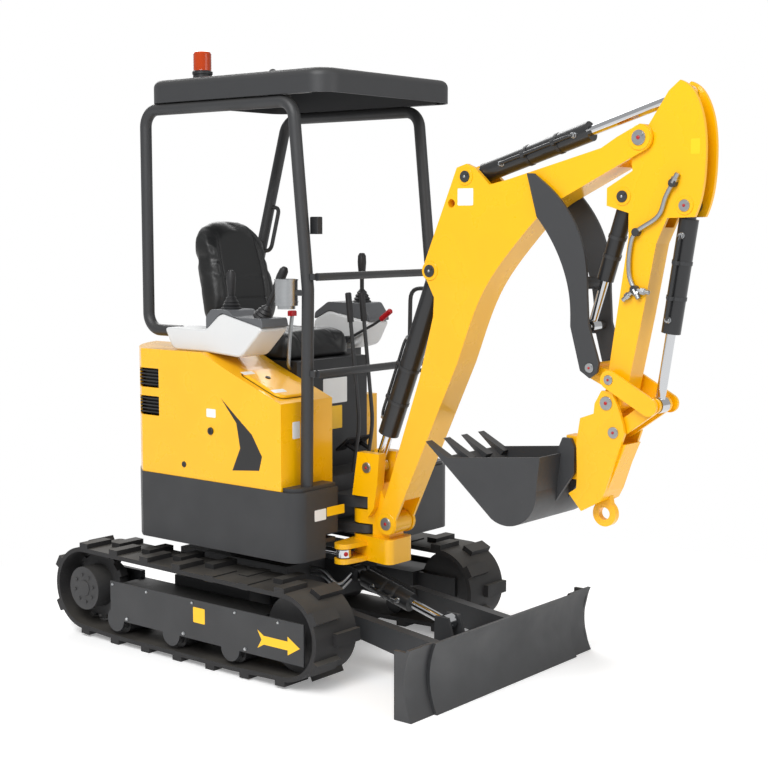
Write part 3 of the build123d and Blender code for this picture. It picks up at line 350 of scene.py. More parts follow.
def grid(points: Array, ring: bool = True, capped: bool = True, loop: bool = False) -> Shape:
    """Surface over a grid of points, u along the rows and v within a row.

    Args:
        points: array of rows by columns by 3.
        ring: whether each row closes on itself.
        capped: whether the first and last rows are closed by a face.
        loop: whether the last row joins the first.

    Returns:
        The surface.
    """
    rows, columns = points.shape[:2]
    u = np.arange(rows if loop else rows - 1)
    v = np.arange(columns if ring else columns - 1)
    a = (u[:, None] * columns + v[None, :]).ravel()
    b = (u[:, None] * columns + (v[None, :] + 1) % columns).ravel()
    step = ((u + 1) % rows)[:, None] * columns
    c = (step + (v[None, :] + 1) % columns).ravel()
    d = (step + v[None, :]).ravel()
    faces = [tuple(face) for face in np.stack([a, b, c, d], 1).tolist()]
    if capped and ring and not loop:
        faces.append(tuple(range(columns))[::-1])
        faces.append(tuple(range((rows - 1) * columns, rows * columns)))
    return Shape(points.reshape(-1, 3), faces)


def turned(profile: Sequence[tuple[float, float]], sides: int = 24) -> Shape:
    """Solid of revolution about local Z: each (radius, height) pair of the profile swept round a circle."""
    outline = np.asarray(profile, float)
    angle = np.linspace(0.0, 2.0 * math.pi, sides, endpoint=False)
    ring = np.stack([np.cos(angle), np.sin(angle)], 1)
    points = np.concatenate(
        [outline[:, None, :1] * ring[None], np.repeat(outline[:, None, 1:], sides, 1)], 2
    )
    return grid(points)


def carried(path: Array, section: Array, loop: bool = False) -> Shape:
    """Carry a closed section along a path, turning it no more than the path turns.

    The frame at each point is the last one with the turn between the two tangents applied.

    Args:
        path: points of the path, n by 3.
        section: points of the section in its own plane, m by 2.
        loop: whether the path closes on itself.

    Returns:
        The swept solid.
    """
    way = np.asarray(path, float)
    ahead = np.roll(way, -1, 0) - np.roll(way, 1, 0)
    if not loop:
        ahead[0] = way[1] - way[0]
        ahead[-1] = way[-1] - way[-2]
    ahead /= np.linalg.norm(ahead, axis=1)[:, None]
    side = np.zeros_like(way)
    guide = np.array(UP if abs(ahead[0][2]) < 0.9 else AHEAD)
    side[0] = unit(np.cross(ahead[0], guide))
    for k in range(1, len(way)):
        side[k] = unit(side[k - 1] - ahead[k] * np.dot(side[k - 1], ahead[k]))
    lift = np.cross(side, ahead)
    points = way[:, None] + section[None, :, :1] * side[:, None] + section[None, :, 1:] * lift[:, None]
    return grid(points[:, ::-1], loop=loop)


def round_section(radius: float, sides: int = 14) -> Array:
    """Points of a circle."""
    angle = np.linspace(0.0, 2.0 * math.pi, sides, endpoint=False)
    return radius * np.stack([np.cos(angle), np.sin(angle)], 1)


def rounded_outline(width: float, height: float, radius: float, steps: int = 5) -> Array:
    """Outline of a rectangle with round corners, counter-clockwise about the origin."""
    angle = np.linspace(0.0, math.pi / 2, steps)
    corners = [(1, 1), (-1, 1), (-1, -1), (1, -1)]
    spots = []
    for k, (sx, sy) in enumerate(corners):
        centre = np.array([sx * (width / 2 - radius), sy * (height / 2 - radius)])
        turn = angle + k * math.pi / 2
        spots.append(centre + radius * np.stack([np.cos(turn), np.sin(turn)], 1))
    return np.vstack(spots)


def drawn_in(outline: Array, inset: float) -> Array:
    """Outline moved inwards, each point along the mean of its two edges' normals."""
    before = outline - np.roll(outline, 1, 0)
    after = np.roll(outline, -1, 0) - outline
    before /= np.linalg.norm(before, axis=1)[:, None] + 1e-12
    after /= np.linalg.norm(after, axis=1)[:, None] + 1e-12
    mean = before + after
    mean /= np.linalg.norm(mean, axis=1)[:, None] + 1e-12
    normal = np.stack([-mean[:, 1], mean[:, 0]], 1)
    return outline + normal * inset


def slab(outline: Array, height: float, edge: float = 0.0) -> Shape:
    """Plate with the outline in local X and Y, standing from 0 to a height, its rims broken by a chamfer."""
    levels = [(0.0, 0.0), (height, 0.0)]
    if edge > 0.0:
        levels = [(0.0, 0.0), (height - edge, 0.0), (height, edge)]
    rows = [np.column_stack([drawn_in(outline, inset), np.full(len(outline), z)]) for z, inset in levels]
    return grid(np.array(rows))


def hexagon(across_flats: float) -> Array:
    """Outline of a hexagon by its width across flats."""
    angle = np.arange(6) * math.pi / 3
    return across_flats / math.sqrt(3.0) * np.stack([np.cos(angle), np.sin(angle)], 1)


def bolt(size: float) -> Shape:
    """Hexagon bolt head on a washer, for a thread of a given diameter, standing on local Z = 0."""
    hole, rim, thick = size * 0.4, size * 1.05, size * 0.16
    washer = turned([(hole, 0.0), (rim, 0.0), (rim, thick), (hole, thick)], 20)
    head = slab(hexagon(size * 1.6), size * 0.62, size * 0.09).placed((0.0, 0.0, size * 0.14))
    return washer + head


def smooth_path(spots: Sequence[Point], steps: int = 10) -> Array:
    """Catmull-Rom curve through points: each span blends its four nearest points by cubic weights."""
    knots = np.asarray(spots, float)
    ends = np.vstack([2 * knots[0] - knots[1], knots, 2 * knots[-1] - knots[-2]])
    t = np.linspace(0.0, 1.0, steps, endpoint=False)[:, None]
    spans = []
    for a, b, c, d in zip(ends[:-3], ends[1:-2], ends[2:-1], ends[3:]):
        spans.append(
            0.5 * (2 * b + (c - a) * t + (2 * a - 5 * b + 4 * c - d) * t**2 + (3 * b - a - 3 * c + d) * t**3)
        )
    return np.vstack([*spans, knots[-1:]])


def rod(spots: Sequence[Point], radius: float, sides: int = 14) -> Shape:
    """Round bar along a smooth path through points."""
    return carried(smooth_path(spots), round_section(radius, sides))


def disc(radius: float, height: float, edge: float) -> Shape:
    """Round disc on local Z = 0 with a broken upper rim, in millimetres."""
    return turned(np.array([(radius, 0.0), (radius, height - edge), (radius - edge, height)]) * MM)


def dome(radius: float, height: float) -> Shape:
    """Round cap on local Z = 0 with a crowned top, in millimetres."""
    share = np.linspace(0.0, math.pi / 2, 5)
    return turned(np.column_stack([radius * np.cos(share) + 0.2, height * np.sin(share)]) * MM, 18)


def band(inner: float, outer: float, height: float) -> Shape:
    """Open ring on local Z = 0, in millimetres."""
    angle = np.linspace(0.0, math.tau, 32, endpoint=False)
    circle = np.stack([np.cos(angle), np.sin(angle)], 1)
    corners = [(inner, 0.0), (outer, 0.0), (outer, height), (inner, height)]
    rows = [np.column_stack([circle * radius, np.full(32, z)]) for radius, z in corners]
    return grid(np.array(rows) * MM, loop=True)


def softened(corners: Sequence[Point], radius: float, closed: bool = True, steps: int = 6) -> Array:
    """Polygon or path whose corners are rounded by parabolas that touch both runs.

    Args:
        corners: the corner points, in two or three dimensions.
        radius: distance from each corner to where its round starts, cut to half the shorter run.
        closed: whether the last corner joins the first.
        steps: points along each round.

    Returns:
        The rounded points.
    """
    spots = np.asarray(corners, float)
    t = np.linspace(0.0, 1.0, steps)[:, None]
    rounds = []
    for k, corner in enumerate(spots):
        if not closed and k in (0, len(spots) - 1):
            rounds.append(corner[None])
            continue
        before, after = spots[k - 1] - corner, spots[(k + 1) % len(spots)] - corner
        runs = [np.linalg.norm(before), np.linalg.norm(after)]
        reach = min(radius, 0.48 * min(runs))
        first, last = corner + before / runs[0] * reach, corner + after / runs[1] * reach
        rounds.append((1 - t) ** 2 * first + 2 * t * (1 - t) * corner + t**2 * last)
    return np.vstack(rounds)


def bent(spots: Sequence[Point], radius: float, bend: float) -> Shape:
    """Round bar of straight runs joined by bends."""
    return carried(softened(spots, bend, closed=False), round_section(radius))


def stack(outline: Array, levels: Sequence[tuple[float, float]]) -> Shape:
    """Closed form from one outline shrunk by an inset at each height, in millimetres."""
    rows = [np.column_stack([shrunk(outline, inset), np.full(len(outline), z)]) for z, inset in levels]
    return grid(np.array(rows) * MM)


def shrunk(outline: Array, inset: float) -> Array:
    """Outline scaled towards its middle so that its box shrinks by an inset on each side."""
    middle = (outline.max(0) + outline.min(0)) / 2
    half = (outline.max(0) - outline.min(0)) / 2
    return middle + (outline - middle) * (half - inset) / half


def smooth(share: Array) -> Array:
    """Smooth step from 0 to 1."""
    held = np.clip(share, 0.0, 1.0)
    return held * held * (3.0 - 2.0 * held)


def coordinates(mesh: bpy.types.Mesh) -> Array:
    """Vertex places of a mesh, n by 3."""
    values = np.empty(len(mesh.vertices) * 3)
    mesh.vertices.foreach_get("co", values)
    return values.reshape(-1, 3)


def make_piece(name: str, shape: Shape, finish: Finish, body: str, bevel: float = 0.0) -> bpy.types.Object:
    """Put a shape into the scene as a piece that moves with a body.

    Args:
        name: piece's name.
        shape: its points and faces.
        finish: its surface.
        body: body of the frame that carries it.
        bevel: width of a rounded edge, or 0.

    Returns:
        The new object.
    """
    mesh = bpy.data.meshes.new(name)
    mesh.from_pydata(shape.points.tolist(), [], shape.faces)
    mesh.validate()
    mesh.materials.append(Paint.get(finish))
    made = bpy.data.objects.new(name, mesh)
    bpy.context.scene.collection.objects.link(made)
    mesh.shade_smooth()
    mesh.set_sharp_from_angle(angle=math.radians(35.0))
    if bevel > 0.0:
        rounding = made.modifiers.new("rounded_edge", "BEVEL")
        rounding.width = bevel
        rounding.segments = 2
        rounding.limit_method = "ANGLE"
        rounding.angle_limit = math.radians(40.0)
    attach(made, body)
    LOG.info("piece %s on %s: %d faces", name, body, len(shape.faces))
    return made


@dataclass
class Machine:
    """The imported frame, with the places that the added pieces are worked out from."""

    frame: dict[str, Any]
    pins: dict[str, Array] = field(init=False)
    axes: dict[str, Array] = field(init=False)

    def __post_init__(self) -> None:
        """Read the places and axes of the joints."""
        joints = self.frame["joints"]
        self.pins = {joint["name"]: np.array(joint["pos_m"]) for joint in joints if "pos_m" in joint}
        self.axes = {joint["name"]: unit(joint["axis"]) for joint in joints}

    def at(self, x: float, y: float, z: float) -> Array:
        """Point in millimetres: X from the slew axis, Y from the middle plane, Z from the ground."""
        return np.array([x, y, z]) * MM + np.array([self.pins["slew"][0], 0.0, 0.0])

    def on(self, pin: str, x: float, y: float, z: float) -> Array:
        """Point in millimetres: X and Z from a pin, Y from the middle plane."""
        spot = self.pins[pin]
        return np.array([spot[0] + x * MM, y * MM, spot[2] + z * MM])

    def prism(self, profile: Sequence[tuple[float, float]], y_low: float, y_high: float) -> Shape:
        """Solid with a side-view profile, in millimetres from the slew axis, between two Y planes."""
        outline = np.asarray(profile, float) * np.array([1.0, -1.0])
        ahead = np.roll(outline, -1, 0)
        if np.sum(outline[:, 0] * ahead[:, 1] - ahead[:, 0] * outline[:, 1]) < 0.0:
            outline = outline[::-1]
        return slab(outline * MM, (y_high - y_low) * MM).placed(self.at(0.0, y_low, 0.0), LEFT)


FINISH_OF_NODE: dict[str, Finish] = {
    "track_right": Paint.TRACK,
    "track_left": Paint.TRACK,
    "drive_sprockets": Paint.CAST,
    "front_idlers": Paint.CAST,
    "track_rollers": Paint.CAST,
    "slew_ring": Paint.CAST,
    "engine": Paint.CAST,
    "hood_right": Paint.YELLOW,
    "hood_rear": Paint.YELLOW,
    "side_box": Paint.YELLOW,
    "boom": Paint.YELLOW,
    "arm": Paint.YELLOW,
    "swing_post": Paint.YELLOW,
    "side_links": Paint.YELLOW,
    "push_link": Paint.YELLOW,
    "quick_coupler": Paint.YELLOW,
    "bucket": Paint.TOOL,
    "thumb": Paint.TOOL,
    "dozer_blade": Paint.TOOL,
    "seat_base": Paint.PLASTIC,
    "seat_cushion": Paint.VINYL,
    "seat_back": Paint.VINYL,
    "right_console": Paint.SHELL,
    "left_console": Paint.SHELL,
    "joysticks": Paint.RUBBER,
    "travel_levers": Paint.CHARCOAL,
    "beacon": Paint.AMBER,
}


@dataclass
class Dressing:
    """Finishes of the frame's own nodes, each named for its real material."""

    machine: Machine

    def build(self) -> None:
        """Give every node its finish."""
        for name, node in self.machine.frame["nodes"].items():
            finish = FINISH_OF_NODE.get(name, Paint.CHARCOAL)
            if name.endswith("_rod"):
                finish = Paint.CHROME
            elif name.endswith("_barrel"):
                finish = Paint.BARREL
            node.data.materials.clear()
            node.data.materials.append(Paint.get(finish))
            LOG.info("node %s: %s", name, finish.name)


@dataclass
class PinRow:
    """One hinge pin: where it lies, what carries it and the faces that its heads stand on."""

    name: str
    joint: str
    body: str
    faces: tuple[float, float]
    radius: float
    x: float = 0.0
    z: float = 0.0
    red: bool = True
    boss: float = 0.0


@dataclass
class Pins:
    """Pin heads with a keeper bolt and a red grease cap on both sides of each hinge."""

    machine: Machine
    rows: tuple[PinRow, ...] = (
        PinRow("boom_foot_pin", "boom_lift", "boom", (-161.0, -39.0), 25.0, boss=44.0),
        PinRow("boom_ram_pin", "boom_ram_pivot", "boom", (-161.0, -39.0), 23.0, red=False, boss=36.0),
        PinRow("boom_eye_pin", "boom_lift", "swing_post", (-174.0, -26.0), 21.0, -90.0, 214.0),
        PinRow("boom_tip_pin", "arm_swing", "boom", (-161.0, -39.0), 26.0, boss=42.0),
        PinRow("arm_ram_pin", "arm_ram_pivot", "boom", (-161.0, -39.0), 21.0, red=False, boss=32.0),
        PinRow("bucket_ram_pin", "bucket_ram_pivot", "arm", (-145.0, -55.0), 20.0, boss=31.0),
        PinRow("thumb_ram_pin", "thumb_ram_pivot", "arm", (-145.0, -55.0), 20.0, red=False, boss=31.0),
        PinRow("side_link_pin", "side_link_pivot", "arm", (-181.0, -19.0), 17.0),
        PinRow("thumb_pin", "thumb", "arm", (-184.0, -16.0), 17.0),
        PinRow("coupler_pin", "bucket_curl", "tool", (-164.0, -36.0), 24.0),
        PinRow("push_link_pin", "push_link_pivot", "tool", (-164.0, -36.0), 20.0),
    )
    height: float = 5.0
    boss_height: float = 4.0

    def build(self) -> None:
        """Make every pin's bosses, heads and caps."""
        for row in self.rows:
            heads, caps, bosses = [], [], []
            for y, out in zip(row.faces, (RIGHT, LEFT)):
                spot = self.machine.on(row.joint, row.x, y, row.z)
                if row.boss > 0.0:
                    bosses.append(disc(row.boss, self.boss_height, 1.5).placed(spot, out))
                    spot = spot + np.array(out) * self.boss_height * MM
                heads.append(disc(row.radius, self.height, 1.5).placed(spot, out))
                centre = spot + np.array(out) * self.height * MM
                keeper = centre + np.array([0.55, 0.0, 0.45]) * row.radius * MM
                heads.append(bolt(row.radius * 0.24 * MM).placed(keeper, out))
                caps.append(dome(row.radius * 0.26, 3.5).placed(centre, out))
            make_piece(row.name, merged(heads), Paint.ZINC if row.red else Paint.CHARCOAL, row.body)
            if bosses:
                make_piece(f"{row.name}_bosses", merged(bosses), Paint.YELLOW, row.body)
            make_piece(f"{row.name}_caps", merged(caps), Paint.RED if row.red else Paint.ZINC, row.body)


@dataclass
class RamRow:
    """One ram's barrel: its radius, the span that its pipe runs along and the side that the pipe lies on."""

    name: str
    radius: float
    span: tuple[float, float]
    side: tuple[float, float, float]


@dataclass
class Plumbing:
    """Ports, pipes and clamps along the ram barrels, and the fittings of the arm's pipe."""

    machine: Machine
    rows: tuple[RamRow, ...] = (
        RamRow("boom", 41.0, (300.0, 640.0), (-1.0, 0.0, 0.0)),
        RamRow("arm", 36.0, (150.0, 465.0), RIGHT),
        RamRow("bucket", 33.0, (100.0, 385.0), RIGHT),
        RamRow("thumb", 30.0, (90.0, 255.0), LEFT),
        RamRow("blade", 38.0, (120.0, 255.0), RIGHT),
    )
    lift: float = 17.0
    pipe_radius: float = 6.0

    def build(self) -> None:
        """Make each ram's pipe and the arm pipe's fittings."""
        for row in self.rows:
            self.build_ram(row)
        self.build_tee()

    def build_ram(self, row: RamRow) -> None:
        """Ports at both ends of a barrel, a pipe between them and two clamp bands.

        Args:
            row: the ram.
        """
        base = self.machine.pins[f"{row.name}_ram_pivot"]
        along = self.machine.axes[f"{row.name}_rod_slide"]
        out = unit(np.array(row.side) - along * np.dot(row.side, along))
        barrel = f"{row.name}_ram_barrel"
        ends = [base + out * row.radius * MM + along * s * MM for s in row.span]
        ports = []
        for end in ends:
            ports.append(disc(11.0, 7.0, 1.5).placed(end - out * 2.0 * MM, out, along))
            nut = slab(hexagon(17.0 * MM), 9.0 * MM, 1.2 * MM)
            ports.append(nut.placed(end + out * 5.0 * MM, out, along))
        make_piece(f"{row.name}_ram_ports", merged(ports), Paint.ZINC, barrel)
        first, last = (end + out * 11.0 * MM for end in ends)
        run = along * 26.0 * MM
        low, high = ends[0] + out * self.lift * MM + run, ends[1] + out * self.lift * MM - run
        path = [first, low, *(low + (high - low) * t for t in (0.25, 0.75)), high, last]
        make_piece(f"{row.name}_ram_pipe", rod(path, self.pipe_radius * MM), Paint.BARREL, barrel)
        bands = []
        for t in (0.3, 0.72):
            spot = base + along * (row.span[0] + t * (row.span[1] - row.span[0])) * MM
            bands.append(band(row.radius + 0.2, row.radius + 2.2, 12.0).placed(spot, along, out))
            block = slab(rounded_outline(14.0 * MM, 20.0 * MM, 3.0 * MM), (self.lift + 4.0) * MM, 2.0 * MM)
            bands.append(block.placed(spot + along * 6.0 * MM + out * (row.radius + 1.0) * MM, out, along))
        make_piece(f"{row.name}_ram_clamps", merged(bands), Paint.CHARCOAL, barrel)

    def build_tee(self) -> None:
        """Hexagon fittings at both ends of the arm's pipe and the tee below it."""
        high = self.machine.on("arm_swing", 126.0, ARM_PIPE_Y, -152.0)
        low = self.machine.on("arm_swing", -11.0, ARM_PIPE_Y, -507.0)
        fittings = []
        for spot, toward in ((high, (0.5, 0.0, 0.9)), (low, (0.5, 0.0, -0.86))):
            fittings.append(slab(hexagon(22.0 * MM), 20.0 * MM, 1.5 * MM).placed(spot, toward, RIGHT))
            fittings.append(disc(9.0, 36.0, 1.5).placed(spot, toward, RIGHT))
        for toward in ((-0.75, 0.0, -0.66), (0.98, 0.0, -0.16)):
            fittings.append(disc(8.0, 58.0, 1.5).placed(low, toward, RIGHT))
            nut = low + unit(toward) * 26.0 * MM
            fittings.append(slab(hexagon(21.0 * MM), 16.0 * MM, 1.5 * MM).placed(nut, toward, RIGHT))
        make_piece("arm_pipe_fittings", merged(fittings), Paint.ZINC, "arm")


@dataclass
class Fasteners:
    """Bolts of the track covers and drive hubs, and the lifting eye on the roof."""

    machine: Machine
    low_bolts: tuple[float, ...] = (-303.0, 38.0, 385.0)
    high_bolts: tuple[float, ...] = (-390.0, -180.0, 90.0, 330.0, 560.0)
    hub_x: float = -574.5
    hub_z: float = 206.0
    hub_circle: float = 58.0
    eye_radius: float = 24.0
    eye_rise: float = 30.0

    def build(self) -> None:
        """Make the bolts, one piece to each group, and the eye."""
        at = self.machine.at
        covers, hubs = [], []
        for face, out in ((-COVER_Y, RIGHT), (COVER_Y, LEFT)):
            covers += [bolt(7.0 * MM).placed(at(x, face, 118.0), out) for x in self.low_bolts]
            covers += [bolt(5.5 * MM).placed(at(x, face, 252.0), out) for x in self.high_bolts]
            for turn in np.arange(8) * math.pi / 4 + 0.2:
                x, z = self.hub_circle * math.cos(turn), self.hub_circle * math.sin(turn)
                hubs.append(bolt(7.0 * MM).placed(at(self.hub_x + x, face, self.hub_z + z), out))
            hubs.append(disc(34.0, 4.0, 1.5).placed(at(self.hub_x, face, self.hub_z), out))
        make_piece("cover_bolts", merged(covers), Paint.ZINC, "undercarriage")
        make_piece("hub_bolts", merged(hubs), Paint.CAST, "undercarriage")
        foot = at(-9.0, 0.0, 2332.0)
        turns = np.arange(28) * math.tau / 28
        loop = np.column_stack([0.0 * turns, np.cos(turns), np.sin(turns)]) * self.eye_radius
        loop[:, 2] += self.eye_rise
        ring = carried(loop * MM + foot, round_section(6.0 * MM), loop=True)
        make_piece("roof_eye", disc(21.0, 7.0, 1.5).placed(foot) + ring, Paint.CHARCOAL, "house")


@dataclass
class Films:
    """Plain blank films: plates on the house, boom, arm and covers, a flash and two travel arrows."""

    machine: Machine
    thick: float = 0.5
    corner: float = 4.0

    def build(self) -> None:
        """Make every film."""
        at, on = self.machine.at, self.machine.on
        white, yellow = Paint.WHITE_FILM, Paint.YELLOW_FILM
        plates = [
            ("hood_plate", at(100.0, HOOD_Y, 1002.0), RIGHT, (52.0, 34.0), white, "house"),
            ("hood_front_plate", at(480.0, -400.0, 958.0), AHEAD, (42.0, 66.0), white, "house"),
            ("lid_plate", at(252.0, -430.0, 1167.5), HOOD_SLOPE, (26.0, 62.0), white, "house"),
            ("lid_low_plate", at(408.0, -420.0, 1107.2), HOOD_SLOPE, (26.0, 70.0), white, "house"),
            ("base_plate", at(290.0, 45.0, 1060.0), AHEAD, (150.0, 106.0), white, "house"),
            ("base_low_plate", at(290.0, 28.0, 948.0), AHEAD, (120.0, 96.0), yellow, "house"),
            ("skirt_plate", at(560.0, -352.0, 628.0), AHEAD, (66.0, 44.0), white, "house"),
            ("skirt_long_plate", at(560.0, -262.0, 634.0), AHEAD, (104.0, 36.0), yellow, "house"),
            ("boom_plate", on("boom_lift", 372.0, -161.0, 1262.0), RIGHT, (70.0, 62.0), white, "boom"),
            ("arm_plate", on("arm_swing", 200.0, ARM_Y, -34.0), RIGHT, (34.0, 50.0), yellow, "arm"),
            ("cover_plate", at(129.0, -COVER_Y, 206.0), RIGHT, (66.0, 62.0), yellow, "undercarriage"),
        ]
        for name, spot, out, (width, height), finish, body in plates:
            sheet = slab(rounded_outline(width * MM, height * MM, self.corner * MM), self.thick * MM)
            across = LEFT if out is AHEAD else AHEAD
            make_piece(name, sheet.placed(spot, out, across), finish, body)
        upper = np.array([(54, 36), (54, 17), (-70, 17), (-104, 36)], float)
        lower = upper[::-1] * np.array([1.0, -1.0])
        arrow = np.vstack([upper, [(-82, 0)], lower, [(116, 0)]])
        for name, face, out in (("arrow", -COVER_Y, RIGHT), ("far_arrow", COVER_Y, LEFT)):
            sheet = slab(arrow * MM, self.thick * MM)
            make_piece(name, sheet.placed(at(555.0, face, 171.0), out, AHEAD), yellow, "undercarriage")
        flash = [(84, -92), (104, -190), (60, -282), (206, -268), (222, -212), (168, -130), (78, -62), (0, 0)]
        sheet = slab(np.array(flash, float) * MM, self.thick * MM)
        sheet = sheet.placed(at(157.0, HOOD_Y, 1066.0), RIGHT, AHEAD)
        make_piece("hood_flash", sheet, Paint.BLACK_FILM, "house")


@dataclass
class Trim:
    """Small fittings: hood lock, post switch box, battery pull and swing eye cap."""

    machine: Machine

    def build(self) -> None:
        """Make the fittings."""
        at = self.machine.at
        lock = disc(15.0, 7.0, 2.0) + slab(rounded_outline(4.0 * MM, 16.0 * MM, 1.5 * MM), 9.0 * MM)
        make_piece("hood_lock", lock.placed(at(98.0, HOOD_Y, 930.0), RIGHT), Paint.PLASTIC, "house")
        box = slab(rounded_outline(42.0 * MM, 30.0 * MM, 5.0 * MM), 66.0 * MM, 3.0 * MM)
        make_piece("switch_box", box.placed(at(540.0, -345.5, 1711.0)), Paint.PLASTIC, "house")
        pull = disc(8.0, 10.0, 2.0).placed(at(560.0, -262.0, 664.0), AHEAD)
        make_piece("battery_pull", pull, Paint.RED, "house")
        cap = dome(9.0, 4.0).placed(at(616.0, -265.4, 466.0), (0.86, -0.51, 0.0))
        make_piece("swing_eye_cap", cap, Paint.RED, "swing_rod")


@dataclass
class Controls:
    """Consoles, joysticks, travel levers with pedals, safety lever, belt buckle and cup holder."""

    machine: Machine
    right_y: tuple[float, float] = (-455.0, -300.0)
    left_y: tuple[float, float] = (300.0, 440.0)
    top_gap: float = 1.0
    top_inset: float = 4.0
    lever_rows: tuple[float, float] = (-12.0, 72.0)
    safety_y: float = 284.0
    cup_place: tuple[float, float, float] = (464.0, -433.0, 1440.0)

    def build(self) -> None:
        """Make every control."""
        self.build_consoles()
        self.build_sticks()
        self.build_levers()
        self.build_cup()

    def build_consoles(self) -> None:
        """White wedge shells with grey tops, the left one on a leg."""
        right_seam = [(355, 1346), (126, 1398), (40, 1329)]
        left_seam = [(262, 1330), (26, 1371), (-60, 1330)]
        right = [(-200, 1330), (-150, 1240.5), (40, 1240.5), (235, 1228), *right_seam]
        left = [*left_seam[2:], (-60, 1245), (120, 1205), (205, 1228), *left_seam[:2]]
        right_top = [(346, 1384), (200, 1384), (164, 1412), (70, 1412), (40, 1384)]
        left_top = [(258, 1356), (218, 1410), (20, 1410), (-56, 1362)]
        for side, shell, top, seam, (low, high) in (
            ("right", right, right_top, right_seam, self.right_y),
            ("left", left, left_top, left_seam, self.left_y),
        ):
            form = self.machine.prism(softened(shell, 24.0), low, high)
            made = make_piece(f"{side}_console_shell", form, Paint.SHELL, "house", 12.0 * MM)
            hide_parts(f"{side}_console")
            outline = [*top, *((x, z + self.top_gap) for x, z in seam[::-1])]
            form = self.machine.prism(softened(outline, 10.0), low + self.top_inset, high - self.top_inset)
            make_piece(f"{side}_console_top", form, Paint.TOP, "house", 7.0 * MM)
        leg = self.machine.prism([(20, 1000.3), (110, 1000.3), (110, 1225), (20, 1240)], 312.0, 428.0)
        make_piece("left_console_leg", leg, Paint.CHARCOAL, "house", 5.0 * MM)

    def build_sticks(self) -> None:
        """Joysticks and blade lever, each with a folded boot and a moulded grip, turned from one profile."""
        folds = [(40, 0), (41, 6), (33, 13), (36, 18), (28, 26), (30, 31), (21, 41), (22, 46)]
        boot = [*folds, (12, 56), (9, 60)]
        grip = [(9, -105), (15, -94), (19, -40), (17.5, -12), (11, 0), (1, 1)]
        sticks = []
        for x, y, z, lean, length in (
            (283.0, -378.0, 1382.0, 32.0, 235.0),
            (162.0, 370.0, 1408.0, 0.0, 215.0),
            (112.0, -378.0, 1410.0, 0.0, 155.0),
        ):
            turn = math.radians(lean)
            profile = np.array([*boot, *((radius, length + rise) for radius, rise in grip)], float)
            form = turned(profile * MM, 28)
            sticks.append(form.placed(self.machine.at(x, y, z), (math.sin(turn), 0.0, math.cos(turn)), LEFT))
        made = make_piece("joystick_forms", merged(sticks), Paint.RUBBER, "house")
        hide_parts("joysticks")

    def build_levers(self) -> None:
        """Bent travel levers with grips and foot pedals, and the red-gripped safety lever."""
        at = self.machine.at
        bars, grips, pedals = [], [], []
        for y in self.lever_rows:
            spots = [at(436.0, y, 742.3), at(472.0, y, 940.0), at(412.0, y, 1470.0)]
            bars.append(bent(spots, 8.0 * MM, 60.0 * MM))
            down = unit(spots[1] - spots[2])
            grips.append(disc(13.0, 120.0, 4.0).placed(spots[2] + down * 117.0 * MM, -down))
            tread = slab(rounded_outline(92.0 * MM, 64.0 * MM, 10.0 * MM), 9.0 * MM, 2.0 * MM)
            pedals.append(tread.placed(at(404.0, y, 850.0), (-0.62, 0.0, 0.79)))
            pedals.append(bent([at(404.0, y, 850.0), at(452.0, y, 830.0)], 9.0 * MM, 0.0))
        made = make_piece("travel_lever_bars", merged(bars), Paint.CHARCOAL, "house")
        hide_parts("travel_levers")
        make_piece("travel_lever_grips", merged(grips), Paint.RUBBER, "house")
        make_piece("travel_pedals", merged(pedals), Paint.RUBBER, "house")
        spots = [at(x, self.safety_y, z) for x, z in ((150.0, 1252.0), (322.0, 1333.0), (392.0, 1384.0))]
        stand = disc(15.0, 24.0, 2.0).placed(at(150.0, self.safety_y - 8.0, 1252.0), LEFT)
        make_piece("safety_lever", bent(spots, 6.0 * MM, 40.0 * MM) + stand, Paint.CHARCOAL, "house")
        back = unit(spots[1] - spots[2])
        grip = disc(12.0, 66.0, 4.0).placed(spots[2] + back * 62.0 * MM, -back)
        make_piece("safety_lever_grip", grip, Paint.RED, "house")

    def build_cup(self) -> None:
        """Open steel cup on a clamp round the right front post, and the belt buckle."""
        at = self.machine.at
        place = at(*self.cup_place)
        cup = [band(40.0, 44.0, 100.0).placed(place), disc(40.5, 4.0, 1.0).placed(place)]
        cup.append(disc(34.0, 14.0, 1.0).placed(place - np.array(UP) * 13.0 * MM))
        cup += [band(40.0, 46.0, 5.0).placed(place + np.array(UP) * rise * MM) for rise in (12.0, 96.0)]
        make_piece("cup_holder", merged(cup), Paint.ZINC, "house")
        arm = slab(rounded_outline(44.0 * MM, 24.0 * MM, 6.0 * MM), 22.0 * MM)
        arm = arm.placed(at(505.0, -411.0, 1478.0), UP, (0.72, 0.7, 0.0))
        make_piece("cup_clamp", arm, Paint.CHARCOAL, "house")
        route = [(252, -182, 1165), (258, -203, 1180), (268, -206, 1290), (277, -200, 1385)]
        spots = [at(*spot) for spot in route]
        stalk = bent(spots, 8.0 * MM, 30.0 * MM)
        make_piece("buckle_stalk", stalk, Paint.ZINC, "house")
        button = slab(rounded_outline(24.0 * MM, 34.0 * MM, 5.0 * MM), 22.0 * MM, 4.0 * MM)
        make_piece("buckle", button.placed(at(277.0, -200.0, 1382.0)), Paint.RED, "house")


